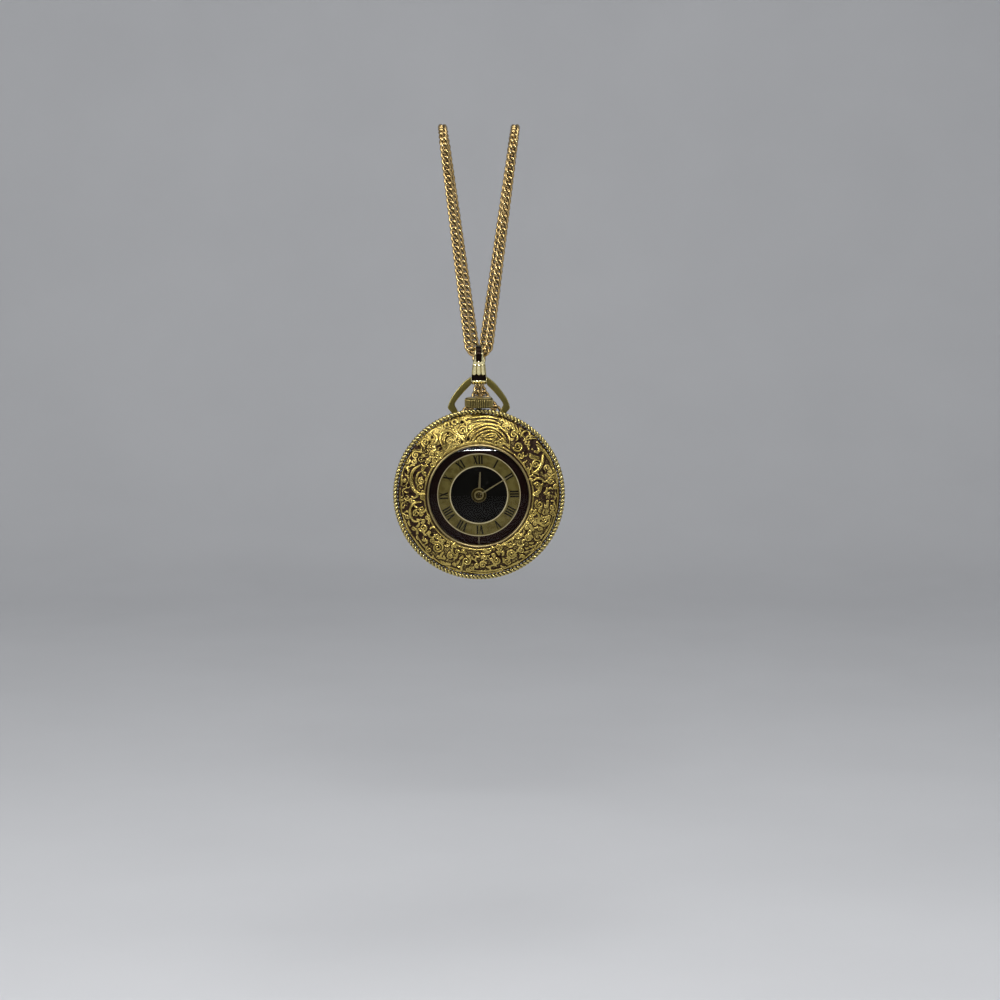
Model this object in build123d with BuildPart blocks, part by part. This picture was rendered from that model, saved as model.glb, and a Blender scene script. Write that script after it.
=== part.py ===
"""Pendant watch on a fine chain: case, hand-wound movement, bow, bail and chain.

The watch hangs, with its dial towards -Y and twelve o'clock towards +Z. The origin is on the
front edge of whatever the chain hangs over, halfway between its two strands. Heights in the
case are measured from the outside of the back cover towards the dial.
"""

import math
import os

from build123d import *

os.makedirs("parts", exist_ok=True)

# Overall places
hang_drop = 80.4
swing_height = 3.25
overrun = 0.5
seat_gap = 0.02
running_gap = 0.05

# Bezel with its rope edge
rope_wire = 1.1
rope_radius = 18.45
rope_height = 4.75
bezel_rim_radius = rope_radius - 0.55
bezel_rim_height = 5.0
bezel_mid_share = 0.597
bezel_mid_height = 6.75
bezel_top_height = 7.3
bezel_under_height = 4.3
bezel_wall = 0.85
bezel_seat_width = 0.9

# Crystal and its ring
crystal_radius = 10.95
crystal_wall = 0.7
crystal_foot_height = 5.6
crystal_edge_height = 7.4
crystal_top_height = 9.1
ring_wall = 0.5
ring_top_height = 7.65
ring_flange = 0.7
ring_flange_thickness = 0.4

# Case band with its ears and stem tube
band_radius = bezel_rim_radius - 1.3
band_wall_share = 0.3137
band_bottom_height = 0.95
band_top_height = 5.0
ear_inner_x = 3.3
ear_outer_x = 4.45
ear_radius = 0.85
ear_root = 1.9
hinge_rise = rope_radius - 1.35
pin_radius = 0.4
tube_radius = 0.9
tube_top = rope_radius + 0.25

# Back cover and gasket
back_flat_radius = band_radius - 3.6
back_edge_height = 0.6
back_inner_height = 0.7
back_rim_wall = 0.6
back_rim_height = 1.7
gasket_thickness = 0.3

# Dial and hands
dial_radius = 11.0
dial_bottom_height = 5.1
dial_thickness = 0.4
dial_hole_radius = 0.8
foot_radius = 0.3
foot_circle = 9.6
foot_length = 1.0
hour_hand_length = 5.2
hour_hand_height = 5.9
hour_boss_radius = 1.65
hour_hand_angle = 87.0
minute_hand_length = 8.7
minute_hand_height = 6.4
minute_boss_radius = 1.0
minute_hand_angle = 32.0
hand_thickness = 0.15
hand_root_width = 0.5
hand_tip_width = 0.2

# Crown and stem
crown_radius = 3.15
crown_flute_depth = 0.2
crown_flutes = 44
crown_bottom = tube_top + 0.4
crown_height = 2.2
crown_dome = 0.3
crown_round = 0.45
crown_corner_share = 1 / 3
crown_crest_share = 2 / 3
stem_radius = 0.45
stem_inner_end = 5.2
stem_in_crown = 1.6
yoke_bottom = 10.35
yoke_thickness = 0.3
yoke_width = 1.5
yoke_back_height = 2.95
yoke_front_height = 4.2
groove_radius = 0.28
clutch_radius = 0.95
clutch_bottom = 5.9
clutch_length = 1.5
clutch_groove = 0.3
winding_bottom = 7.95
winding_length = 0.8
winding_module = 0.16

# Movement levels, from the back outwards
movement_radius = 11.5
wheel_thickness = 0.14
ratchet_bottom_height = 1.0
ratchet_thickness = 0.25
crown_wheel_lower_end = 2.1
bridge_bottom_height = 1.35
bridge_thickness = 0.5
cock_bottom_height = 1.0
cock_thickness = 0.6
hairspring_height = 1.68
balance_height = 1.85
centre_wheel_height = 2.0
pallet_bridge_height = 2.06
pallet_bridge_thickness = 0.18
escape_height = 2.32
third_wheel_height = 2.36
fourth_wheel_height = 2.62
barrel_bottom_height = 2.35
barrel_top_height = 3.6
barrel_teeth_thickness = 0.4
plate_bottom_height = 2.95
plate_thickness = 1.5
pocket_gap = 0.12
motion_gap = 0.08

# Wheels and pinions
barrel_teeth = 80
centre_leaves = 12
barrel_module = 0.12
centre_teeth = 80
third_leaves = 10
centre_module = 0.09
third_teeth = 75
fourth_leaves = 10
third_module = 0.08
fourth_teeth = 80
escape_leaves = 8
fourth_module = 0.065
cannon_leaves = 12
minute_teeth = 36
cannon_module = 0.104
minute_leaves = 10
hour_teeth = 40
hour_module = 0.0999
crown_wheel_teeth = 30
crown_wheel_lower_teeth = 18
crown_wheel_module = 0.16
ratchet_teeth = 58
winding_teeth = 14
crown_wheel_rise = 6.6
escape_radius = 1.9
escape_teeth = 15
pallet_distance = 2.2
fork_length = 3.0
tip_share = 0.9
root_share = 1.2
root_width_share = 0.3
tip_width_share = 0.11
arbor_radius = 0.18
pivot_radius = 0.09
jewel_radius = 0.36
jewel_thickness = 0.3
barrel_angle = 20.0
third_angle = 260.0
fourth_angle = 200.0
escape_angle = 140.0
balance_angle = 104.7
minute_angle = 200.0

# Barrel, mainspring, balance and hairspring
barrel_wall = 0.35
barrel_arbor_radius = 0.9
barrel_journal_radius = 0.45
barrel_lid_thickness = 0.2
wheel_rim = 0.45
wheel_hub = 0.7
centre_arbor_radius = 0.25
cannon_teeth_length = 0.22
cannon_tube_radius = 0.42
hour_tube_wall = 0.15
post_radius = 0.2
dial_seat_width = 0.8
dial_seat_radius = 11.3
bridge_radius = 11.4
bridge_split = -1.7
bridge_gap = 0.2
bridge_side = -3.4
cock_side = -3.6
cock_foot_rise = 6.2
cock_foot_length = 5.6
cock_end_radius = 1.2
cock_root_radius = 1.7
balance_clearance = 0.4
pallet_bridge_width = 1.3
pallet_post_spread = 2.4
pallet_post_radius = 0.43
fork_width = 0.3
fork_hub_radius = 0.25
fork_notch = 0.35
anchor_reach = 1.6
anchor_angle = 75.0
stone_length = 0.5
stone_width = 0.16
click_length = 2.2
click_width = 0.7
click_angle = 100.0
click_gap = 0.15
mainspring_width = 0.12
mainspring_turns = 8
balance_radius = 3.7
balance_rim = 0.4
balance_thickness = 0.15
spoke_width = 0.35
roller_radius = 0.7
roller_thickness = 0.12
roller_pin_radius = 0.1
hairspring_width = 0.05
hairspring_pitch = 0.17
hairspring_turns = 6
hairspring_start = 0.5
hairspring_thickness = 0.09

# Screws
screw_head_radius = 0.5
screw_head_thickness = 0.2
screw_shank_radius = 0.25
screw_slot_width = 0.16
screw_circle = 11.0
foot_wall = 0.8
clamp_circle = 12.1
ring_skirt_top = 5.25
screw_bite = 1.0
barrel_bridge_screw_angles = (2.0, 60.0, 102.0)
train_bridge_screw_angles = (197.0, 262.0, 325.0)
cock_screw_distance = 9.9
cock_screw_angle = 127.0
clamp_head_radius = 0.9
clamp_head_thickness = 0.4
clamp_shank_radius = 0.4
clamp_angles = (165.0, 345.0)
foot_angles = (125.0, 305.0)

# Bow
bow_thickness = 1.2
bow_bar_radius = 0.55
bow_bar_rise = hinge_rise + 8.1
bow_bar_half = 1.85
bow_round = 0.15
bow_end_x = 4.6
bow_foot_x = 5.7
bow_foot_drop = 0.6
bow_heel_x = 6.05
bow_heel_rise = hinge_rise + 0.8
bow_neck_rise = hinge_rise + 1.3
bow_shoulder_x = 6.9
bow_shoulder_rise = hinge_rise + 2.0
bow_mid_x = 4.75
bow_mid_rise = hinge_rise + 6.05
bow_top_rise = hinge_rise + 8.9
bow_inner_shoulder_x = 5.35
bow_inner_shoulder_rise = hinge_rise + 2.7
bow_inner_mid_x = 3.05
bow_inner_mid_rise = hinge_rise + 5.75
bow_inner_top_rise = hinge_rise + 7.05

# Bail
bail_wall = 0.45
bail_eye_radius = 1.55
bail_eye_rise = bow_bar_rise + 5.6
bail_top_half = 0.85
bail_shoulder_half = 1.25
bail_shoulder_rise = bail_eye_rise - 1.0
bail_waist_half = 1.6
bail_waist_rise = bow_bar_rise + 1.1
bail_foot_half = 1.72
bail_foot_eye_radius = 0.85
bail_groove_radius = 0.2
bail_groove_half = 0.5
bail_groove_share = 0.55

# Chain, coil, clasp and tie
chain_width = 2.1
chain_half_spread = 8.0
chain_loop_half = 2.05
chain_back_half = -0.6
support_depth = 14.0
coil_pitch = 2.98
coil_outer_radius = 14.0
clasp_radius = 2.0
clasp_wire = 1.2
clasp_knob_radius = 0.5
clasp_knob_length = 1.3
end_ring_radius = 1.05
end_ring_wire = 0.6
chain_in_clasp = 0.15
tie_wall = 0.5
tie_gap = 0.3
tie_width = 2.0
run_share = 0.45
loop_gap = 0.3
coil_straight = 2.1
coil_end_straight = 2.1
coil_samples = 400
half_turns = 4
left_azimuth = 135
right_azimuth = left_azimuth + 180

case_z = -hang_drop
case_axis = Axis((0, 0, case_z), (0, -1, 0))


def face(height):
    """The plane at a height in the case, seen from the dial: x to the right, y up."""
    return Plane(origin=(0, swing_height - height, case_z), x_dir=(1, 0, 0), z_dir=(0, -1, 0))


def turning(height=0.0):
    """The half plane of turned profiles: x is the radius, y the height above the given one."""
    return Plane(origin=(0, swing_height - height, case_z), x_dir=(1, 0, 0), z_dir=(0, 0, -1))


def rising(rise):
    """A level plane at a rise above the middle of the case, across the stem."""
    return Plane(origin=(0, 0, case_z + rise), x_dir=(1, 0, 0), z_dir=(0, 0, 1))


def side(x):
    """The plane at an x, seen from the right: local x is depth behind the hinge, y the rise."""
    return Plane(origin=(x, 0, case_z), x_dir=(0, 1, 0), z_dir=(1, 0, 0))


def polar(distance, angle, start=(0, 0)):
    """The point at a distance and an angle from a start point."""
    turn = math.radians(angle)
    return (start[0] + distance * math.cos(turn), start[1] + distance * math.sin(turn))


def mating_turn(angle, turn, teeth, mate_teeth):
    """The turn of a wheel whose gap meets a tooth of the first wheel, which lies at that angle."""
    return angle + 180 - (turn - angle) * teeth / mate_teeth + 180 / mate_teeth


def toothed(teeth, module, turn=0.0, middle=(0, 0)):
    """A wheel's outline: straight-sided teeth round its pitch circle."""
    tip = module * (teeth / 2 + tip_share)
    root = module * (teeth / 2 - root_share)
    step = 360 / teeth
    points = []
    for tooth in range(teeth):
        for radius, share in (
            (root, -root_width_share),
            (tip, -tip_width_share),
            (tip, tip_width_share),
            (root, root_width_share),
        ):
            points.append(polar(radius, turn + (tooth + share) * step, middle))
    with BuildSketch(mode=Mode.PRIVATE) as outline:
        with BuildLine():
            Polyline(*points, close=True)
        make_face()
    return outline.sketch


def disc(radius, middle=(0, 0), hole=None):
    """A round outline, or a ring if it has a hole."""
    with BuildSketch(mode=Mode.PRIVATE) as outline:
        with Locations(middle):
            Circle(radius)
            if hole:
                Circle(hole, mode=Mode.SUBTRACT)
    return outline.sketch


def spiral(start, pitch, turns, width, middle=(0, 0)):
    """A ribbon wound outwards on half turns of growing radius."""
    with BuildSketch(mode=Mode.PRIVATE) as ribbon:
        with BuildLine():
            for half in range(2 * turns):
                sign = 1 if half % 2 == 0 else -1
                near = (middle[0] + sign * (start + half * pitch / 2), middle[1])
                far = (middle[0] - sign * (start + (half + 1) * pitch / 2), middle[1])
                top_y = middle[1] + sign * (start + (half + 1 / 2) * pitch / 2)
                ThreePointArc(near, ((near[0] + far[0]) / 2, top_y), far)
        trace(line_width=width)
    return ribbon.sketch


def write(part, name):
    """Labels a finished piece and writes its file."""
    part.label = name
    export_step(part, f"parts/{name}.step")


# Bezel: a domed ring that carries the ornament, with a rolled edge round it
bezel_hole = crystal_radius + ring_wall
bezel_mid_radius = bezel_hole + (bezel_rim_radius - bezel_hole) * bezel_mid_share
with BuildPart() as bezel:
    with BuildSketch(turning()) as bezel_profile:
        with BuildLine():
            Polyline(
                (bezel_hole, bezel_top_height - bezel_wall),
                (bezel_hole, bezel_top_height),
            )
            ThreePointArc(
                (bezel_hole, bezel_top_height),
                (bezel_mid_radius, bezel_mid_height),
                (bezel_rim_radius, bezel_rim_height),
            )
            Polyline(
                (bezel_rim_radius, bezel_rim_height),
                (bezel_rim_radius, bezel_under_height),
                (band_radius + seat_gap, bezel_under_height),
                (band_radius + seat_gap, band_top_height),
                (band_radius - bezel_seat_width, band_top_height),
                (bezel_hole + bezel_seat_width, bezel_top_height - bezel_wall),
                (bezel_hole, bezel_top_height - bezel_wall),
            )
        make_face()
        with Locations((rope_radius, rope_height)):
            Circle(rope_wire / 2)
    revolve(axis=case_axis)
write(bezel.part, "bezel")

# Crystal ring: pushed up from below, its flange under the bezel
ring_flange_top = bezel_top_height - bezel_wall
with BuildPart() as crystal_ring:
    with BuildSketch(turning()):
        with BuildLine():
            Polyline(
                (crystal_radius, ring_flange_top - ring_flange_thickness),
                (bezel_hole + ring_flange, ring_flange_top - ring_flange_thickness),
                (bezel_hole + ring_flange, ring_flange_top),
                (bezel_hole, ring_flange_top),
                (bezel_hole, ring_top_height - ring_wall / 2),
                (bezel_hole - ring_wall / 2, ring_top_height),
                (crystal_radius, ring_top_height - ring_wall / 2),
                close=True,
            )
        make_face()
    revolve(axis=case_axis)
write(crystal_ring.part, "crystal_ring")

# Crystal: a clear dome with a short straight wall
with BuildPart() as crystal:
    with BuildSketch(turning()):
        with BuildLine():
            Polyline(
                (0, crystal_top_height - crystal_wall),
                (0, crystal_top_height),
            )
            dome_rise = crystal_top_height - crystal_edge_height
            RadiusArc(
                (0, crystal_top_height),
                (crystal_radius, crystal_edge_height),
                (crystal_radius**2 + dome_rise**2) / (2 * dome_rise),
            )
            Polyline(
                (crystal_radius, crystal_edge_height),
                (crystal_radius, crystal_foot_height),
                (crystal_radius - crystal_wall, crystal_foot_height),
                (crystal_radius - crystal_wall, crystal_edge_height - crystal_wall),
            )
            inner_radius = crystal_radius - crystal_wall
            RadiusArc(
                (0, crystal_top_height - crystal_wall),
                (inner_radius, crystal_edge_height - crystal_wall),
                (inner_radius**2 + dome_rise**2) / (2 * dome_rise),
            )
        make_face()
    revolve(axis=case_axis)
write(crystal.part, "crystal")

# Case band: the middle of the case, with two ears for the bow and the tube for the stem
band_wall = (band_radius - movement_radius) * band_wall_share
with BuildPart() as case_band:
    with BuildSketch(face(band_bottom_height)):
        add(disc(band_radius, hole=band_radius - band_wall))
    extrude(amount=band_top_height - band_bottom_height)
    for ear_x in (-ear_outer_x, ear_inner_x):
        with BuildSketch(side(ear_x)):
            with Locations((0, hinge_rise)):
                Circle(ear_radius)
            with Locations((0, hinge_rise - ear_root / 2)):
                Rectangle(2 * ear_radius, ear_root)
        extrude(amount=ear_outer_x - ear_inner_x)
    with BuildSketch(rising(band_radius - band_wall / 2)):
        Circle(tube_radius)
    extrude(amount=tube_top - band_radius + band_wall / 2)
    with BuildSketch(face(band_bottom_height)):
        add(disc(band_radius - band_wall))
    extrude(amount=band_top_height - band_bottom_height, mode=Mode.SUBTRACT)
    with BuildSketch(rising(band_radius - band_wall - overrun)):
        Circle(stem_radius + running_gap)
    extrude(amount=tube_top - band_radius + band_wall + 2 * overrun, mode=Mode.SUBTRACT)
    with BuildSketch(side(-ear_outer_x - overrun)):
        with Locations((0, hinge_rise)):
            Circle(pin_radius + running_gap)
    extrude(amount=ear_outer_x - ear_inner_x + 2 * overrun, mode=Mode.SUBTRACT)
    with BuildSketch(side(ear_inner_x - overrun)):
        with Locations((0, hinge_rise)):
            Circle(pin_radius + running_gap)
    extrude(amount=ear_outer_x - ear_inner_x + 2 * overrun, mode=Mode.SUBTRACT)
write(case_band.part, "case_band")

# Back cover: a shallow pressed cap that snaps into the band
band_bore = band_radius - band_wall
with BuildPart() as back_cover:
    with BuildSketch(turning()):
        with BuildLine():
            Polyline((0, back_inner_height), (0, 0), (back_flat_radius, 0))
            TangentArc(
                (back_flat_radius, 0),
                (band_radius, back_edge_height),
                tangent=(1, 0),
            )
            Polyline(
                (band_radius, back_edge_height),
                (band_radius, band_bottom_height),
                (band_bore, band_bottom_height),
                (band_bore, back_rim_height),
                (band_bore - back_rim_wall, back_rim_height),
                (band_bore - back_rim_wall, band_bottom_height),
                (band_bore - back_rim_wall - back_edge_height, back_inner_height),
                (0, back_inner_height),
            )
        make_face()
    revolve(axis=case_axis)
write(back_cover.part, "back_cover")

with BuildPart() as back_gasket:
    with BuildSketch(face(back_rim_height)):
        add(disc(band_bore, hole=band_bore - back_rim_wall))
    extrude(amount=gasket_thickness)
write(back_gasket.part, "back_gasket")

# Where each wheel stands on the main plate
plate_top_height = plate_bottom_height + plate_thickness
bridge_top_height = bridge_bottom_height + bridge_thickness
cock_top_height = cock_bottom_height + cock_thickness
pallet_bridge_top = pallet_bridge_height + pallet_bridge_thickness
barrel_at = polar(barrel_module * (barrel_teeth + centre_leaves) / 2, barrel_angle)
third_at = polar(centre_module * (centre_teeth + third_leaves) / 2, third_angle)
fourth_at = polar(third_module * (third_teeth + fourth_leaves) / 2, fourth_angle, third_at)
escape_at = polar(fourth_module * (fourth_teeth + escape_leaves) / 2, escape_angle, fourth_at)
pallet_at = polar(pallet_distance, balance_angle, escape_at)
balance_at = polar(fork_length, balance_angle, pallet_at)
minute_at = polar(cannon_module * (cannon_leaves + minute_teeth) / 2, minute_angle)
crown_wheel_at = (0, crown_wheel_rise)
crown_wheel_radius = crown_wheel_module * crown_wheel_teeth / 2
crown_journal_radius = crown_wheel_module * (crown_wheel_lower_teeth / 2 + tip_share)
ratchet_module = (math.dist(barrel_at, crown_wheel_at) - crown_wheel_radius) * 2 / ratchet_teeth
ratchet_angle = math.degrees(
    math.atan2(barrel_at[1] - crown_wheel_at[1], barrel_at[0] - crown_wheel_at[0])
)
ratchet_turn = mating_turn(ratchet_angle, ratchet_angle, crown_wheel_teeth, ratchet_teeth)
barrel_tip_radius = barrel_module * (barrel_teeth / 2 + tip_share)
winding_tip_radius = winding_module * (winding_teeth / 2 + tip_share)
centre_turn = mating_turn(barrel_angle + 180, barrel_angle + 180, barrel_teeth, centre_leaves)
third_turn = mating_turn(third_angle, third_angle, centre_teeth, third_leaves)
fourth_turn = mating_turn(fourth_angle, fourth_angle, third_teeth, fourth_leaves)
escape_turn = mating_turn(escape_angle, escape_angle, fourth_teeth, escape_leaves)
print("furthest reach of the balance", round(math.hypot(*balance_at) + balance_radius, 3))


def slab(outline, bottom, thickness, mode=Mode.ADD):
    """Adds a flat layer of an outline to the piece being made, or cuts it out."""
    with BuildSketch(face(bottom), mode=Mode.PRIVATE) as layer:
        add(outline)
    extrude(layer.sketch, amount=thickness, mode=mode)


def spoked(teeth, module, turn, middle):
    """A wheel's outline with its rim, four spokes and hub."""
    opening = module * (teeth / 2 - root_share) - wheel_rim
    with BuildSketch(mode=Mode.PRIVATE) as outline:
        add(toothed(teeth, module, turn, middle))
        with Locations(middle):
            Circle(opening, mode=Mode.SUBTRACT)
            Circle(wheel_hub)
            Rectangle(2 * opening + wheel_rim, spoke_width)
            Rectangle(spoke_width, 2 * opening + wheel_rim)
    return outline.sketch


def arbor(middle, bottom, top):
    """Adds a wheel's arbor between its two bearings, with a pivot at each end."""
    pivot = jewel_thickness - running_gap
    slab(disc(arbor_radius, middle), bottom + running_gap, top - bottom - 2 * running_gap)
    slab(disc(pivot_radius, middle), bottom - pivot, top - bottom + 2 * pivot)


def bridge_outline(left, low, high, wall=None):
    """The movement's disc inside a window and clear of the balance, or only its edge."""
    with BuildSketch(mode=Mode.PRIVATE) as outline:
        add(disc(bridge_radius, hole=bridge_radius - wall if wall else None))
        with Locations(((left + movement_radius) / 2, (low + high) / 2)):
            Rectangle(movement_radius - left, high - low, mode=Mode.INTERSECT)
        with Locations(balance_at):
            Circle(balance_radius + balance_clearance, mode=Mode.SUBTRACT)
        if wall:
            with Locations([polar(clamp_circle, angle) for angle in clamp_angles]):
                Circle(clamp_head_radius + running_gap, mode=Mode.SUBTRACT)
            with Locations((0, bridge_radius)):
                Rectangle(2 * winding_tip_radius, 2 * foot_wall + overrun, mode=Mode.SUBTRACT)
    return outline.sketch


def drill(places, radius, bottom, depth):
    """Cuts a hole from a height at each of the places."""
    with BuildSketch(face(bottom), mode=Mode.PRIVATE) as holes:
        with Locations(places):
            Circle(radius)
    extrude(holes.sketch, amount=depth, mode=Mode.SUBTRACT)


def screw(place, top):
    """Adds one slotted screw whose head stands on a surface at the given height."""
    slab(disc(screw_head_radius, place), top - screw_head_thickness, screw_head_thickness)
    slab(disc(screw_shank_radius, place), top, plate_bottom_height + screw_bite - top)
    with BuildSketch(face(top - screw_head_thickness), mode=Mode.PRIVATE) as slot:
        with Locations(place):
            Rectangle(2 * screw_head_radius, screw_slot_width)
    extrude(slot.sketch, amount=screw_head_thickness / 2, mode=Mode.SUBTRACT)


barrel_screws = [polar(screw_circle, angle) for angle in barrel_bridge_screw_angles]
train_screws = [polar(screw_circle, angle) for angle in train_bridge_screw_angles]
cock_screws = [polar(cock_screw_distance, cock_screw_angle)]
clamps = [polar(clamp_circle, angle) for angle in clamp_angles]
dial_feet = [polar(foot_circle, angle) for angle in foot_angles]
train_jewels = [third_at, fourth_at, escape_at]

# Main plate: carries every wheel, with a pocket for the barrel and a slot for the winding work
pocket_top_height = barrel_top_height + pocket_gap
slot_half = winding_tip_radius + pocket_gap
slot_bottom = clutch_bottom - pocket_gap
slot_top = winding_bottom + winding_length + pocket_gap
with BuildPart() as main_plate:
    slab(disc(movement_radius), plate_bottom_height, plate_thickness)
    dial_seat = disc(dial_seat_radius, hole=dial_seat_radius - dial_seat_width)
    slab(dial_seat, plate_top_height, dial_bottom_height - plate_top_height)
    slab(disc(post_radius, minute_at), plate_top_height, dial_bottom_height - plate_top_height)
    pocket_depth = pocket_top_height - plate_bottom_height + overrun
    drill([barrel_at], barrel_tip_radius + pocket_gap, plate_bottom_height - overrun, pocket_depth)
    through = plate_thickness + 2 * overrun
    drill([barrel_at], barrel_journal_radius + running_gap, plate_bottom_height - overrun, through)
    drill([(0, 0)], centre_arbor_radius + running_gap, plate_bottom_height - overrun, through)
    drill(
        train_jewels + [pallet_at, balance_at],
        jewel_radius,
        plate_bottom_height - overrun,
        jewel_thickness + overrun,
    )
    drill(
        barrel_screws + train_screws + cock_screws,
        screw_shank_radius,
        plate_bottom_height - overrun,
        screw_bite + overrun,
    )
    drill(dial_feet, foot_radius, dial_bottom_height - foot_length, foot_length)
    with BuildSketch(face(plate_bottom_height - overrun)):
        with Locations((0, (slot_bottom + slot_top) / 2)):
            Rectangle(2 * slot_half, slot_top - slot_bottom)
    extrude(amount=through, mode=Mode.SUBTRACT)
    with BuildSketch(face(plate_bottom_height - overrun)):
        with Locations((0, (yoke_bottom - pocket_gap + movement_radius + overrun) / 2)):
            Rectangle(
                yoke_width + 2 * running_gap,
                movement_radius + overrun - yoke_bottom + pocket_gap,
            )
    extrude(amount=yoke_front_height + running_gap - plate_bottom_height + overrun, mode=Mode.SUBTRACT)
    with BuildSketch(rising(stem_inner_end - running_gap)):
        Circle(stem_radius + running_gap)
    extrude(amount=movement_radius, mode=Mode.SUBTRACT)
write(main_plate.part, "main_plate")

# Movement ring: fills the band round the plate, held between the gasket and the bezel
ring_outer_radius = band_bore - seat_gap
with BuildPart() as movement_ring:
    with BuildSketch(turning()):
        with BuildLine():
            Polyline(
                (movement_radius + seat_gap, plate_bottom_height),
                (movement_radius + seat_gap, plate_top_height),
                (ring_outer_radius - back_rim_wall, plate_top_height),
                (ring_outer_radius - back_rim_wall, ring_skirt_top),
                (ring_outer_radius, ring_skirt_top),
                (ring_outer_radius, back_rim_height + gasket_thickness),
                (ring_outer_radius - back_rim_wall, back_rim_height + gasket_thickness),
                (ring_outer_radius - back_rim_wall, plate_bottom_height),
                close=True,
            )
        make_face()
    revolve(axis=case_axis)
    drill(clamps, clamp_shank_radius, plate_bottom_height - overrun, plate_thickness + 2 * overrun)
    with BuildSketch(rising(movement_radius - overrun)):
        Circle(stem_radius + 2 * running_gap)
    extrude(amount=band_bore - movement_radius + 2 * overrun, mode=Mode.SUBTRACT)
write(movement_ring.part, "movement_ring")

with BuildPart() as case_screws:
    for place in clamps:
        slab(
            disc(clamp_head_radius, place),
            plate_bottom_height - clamp_head_thickness,
            clamp_head_thickness,
        )
        slab(disc(clamp_shank_radius, place), plate_bottom_height, plate_thickness)
write(case_screws.part, "case_screws")

# Bridges over the barrel, the train and the pallets, and the cock over the balance
bridge_foot = plate_bottom_height - bridge_top_height
barrel_window = (bridge_side, bridge_split + bridge_gap / 2, movement_radius)
train_window = (-movement_radius, -movement_radius, bridge_split - bridge_gap / 2)
with BuildPart() as barrel_bridge:
    slab(bridge_outline(*barrel_window), bridge_bottom_height, bridge_thickness)
    slab(bridge_outline(*barrel_window, wall=foot_wall), bridge_top_height, bridge_foot)
    bridge_cut = bridge_thickness + 2 * overrun
    below = bridge_bottom_height - overrun
    drill([(0, 0)], centre_arbor_radius + running_gap, below, bridge_cut)
    drill([barrel_at], barrel_journal_radius + running_gap, below, bridge_cut)
    drill([crown_wheel_at], crown_journal_radius + running_gap, below, bridge_cut)
    drill(barrel_screws, screw_shank_radius, below, bridge_cut + bridge_foot)
write(barrel_bridge.part, "barrel_bridge")

with BuildPart() as train_bridge:
    slab(bridge_outline(*train_window), bridge_bottom_height, bridge_thickness)
    slab(bridge_outline(*train_window, wall=foot_wall), bridge_top_height, bridge_foot)
    drill(train_jewels, pivot_radius + running_gap, below, bridge_cut)
    drill(train_jewels, jewel_radius, bridge_top_height - jewel_thickness, bridge_cut)
    drill(train_screws, screw_shank_radius, below, bridge_cut + bridge_foot)
write(train_bridge.part, "train_bridge")

pallet_posts = [
    polar(sign * pallet_post_spread, balance_angle - 90, pallet_at) for sign in (-1, 1)
]
with BuildPart() as pallet_bridge:
    with BuildSketch(face(pallet_bridge_height)):
        with Locations(pallet_at):
            SlotCenterToCenter(2 * pallet_post_spread, pallet_bridge_width, balance_angle - 90)
    extrude(amount=pallet_bridge_thickness)
    for post in pallet_posts:
        slab(
            disc(pallet_post_radius, post),
            pallet_bridge_top,
            plate_bottom_height - pallet_bridge_top,
        )
    drill([pallet_at], pivot_radius + running_gap, pallet_bridge_height - overrun, 2 * overrun)
write(pallet_bridge.part, "pallet_bridge")

with BuildPart() as balance_cock:
    with BuildSketch(face(cock_bottom_height)):
        with Locations(balance_at):
            Circle(cock_end_radius)
        with Locations(cock_screws):
            Circle(cock_root_radius)
        make_hull()
    extrude(amount=cock_thickness)
    with BuildSketch(face(cock_bottom_height)):
        Circle(bridge_radius)
        with Locations((cock_side - cock_foot_length / 2, cock_foot_rise + cock_foot_length / 2)):
            Rectangle(cock_foot_length, cock_foot_length, mode=Mode.INTERSECT)
    extrude(amount=plate_bottom_height - cock_bottom_height)
    drill([balance_at], pivot_radius + running_gap, cock_bottom_height - overrun, bridge_cut)
    drill([balance_at], jewel_radius, cock_top_height - jewel_thickness, bridge_cut)
    foot_cut = plate_bottom_height - cock_bottom_height + 2 * overrun
    drill(cock_screws, screw_shank_radius, cock_bottom_height - overrun, foot_cut)
write(balance_cock.part, "balance_cock")

with BuildPart() as bridge_screws:
    for place in barrel_screws + train_screws:
        screw(place, bridge_bottom_height)
    for place in cock_screws:
        screw(place, cock_bottom_height)
write(bridge_screws.part, "bridge_screws")

with BuildPart() as jewels:
    for middle, bottom in (
        [(place, bridge_top_height - jewel_thickness) for place in train_jewels]
        + [(place, plate_bottom_height) for place in train_jewels + [pallet_at, balance_at]]
        + [(balance_at, cock_top_height - jewel_thickness)]
    ):
        slab(disc(jewel_radius, middle, pivot_radius + running_gap), bottom, jewel_thickness)
write(jewels.part, "jewels")

# Barrel with its mainspring, arbor and lid, and the ratchet wheel on the arbor
barrel_bore = barrel_module * (barrel_teeth / 2 - root_share) - barrel_wall
core_bottom = barrel_bottom_height + barrel_lid_thickness + running_gap
core_top = barrel_top_height - barrel_lid_thickness - running_gap
drum_depth = barrel_top_height - barrel_bottom_height
with BuildPart() as barrel:
    slab(
        toothed(barrel_teeth, barrel_module, barrel_angle + 180, barrel_at),
        barrel_bottom_height,
        barrel_teeth_thickness,
    )
    slab(disc(barrel_bore + barrel_wall, barrel_at), barrel_bottom_height, drum_depth)
    drill([barrel_at], barrel_bore, barrel_bottom_height, drum_depth - barrel_lid_thickness)
    drill([barrel_at], barrel_journal_radius + running_gap, barrel_bottom_height, drum_depth)
write(barrel.part, "barrel")

with BuildPart() as barrel_lid:
    slab(
        disc(barrel_bore - seat_gap, barrel_at, barrel_journal_radius + running_gap),
        barrel_bottom_height,
        barrel_lid_thickness,
    )
write(barrel_lid.part, "barrel_lid")

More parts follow.
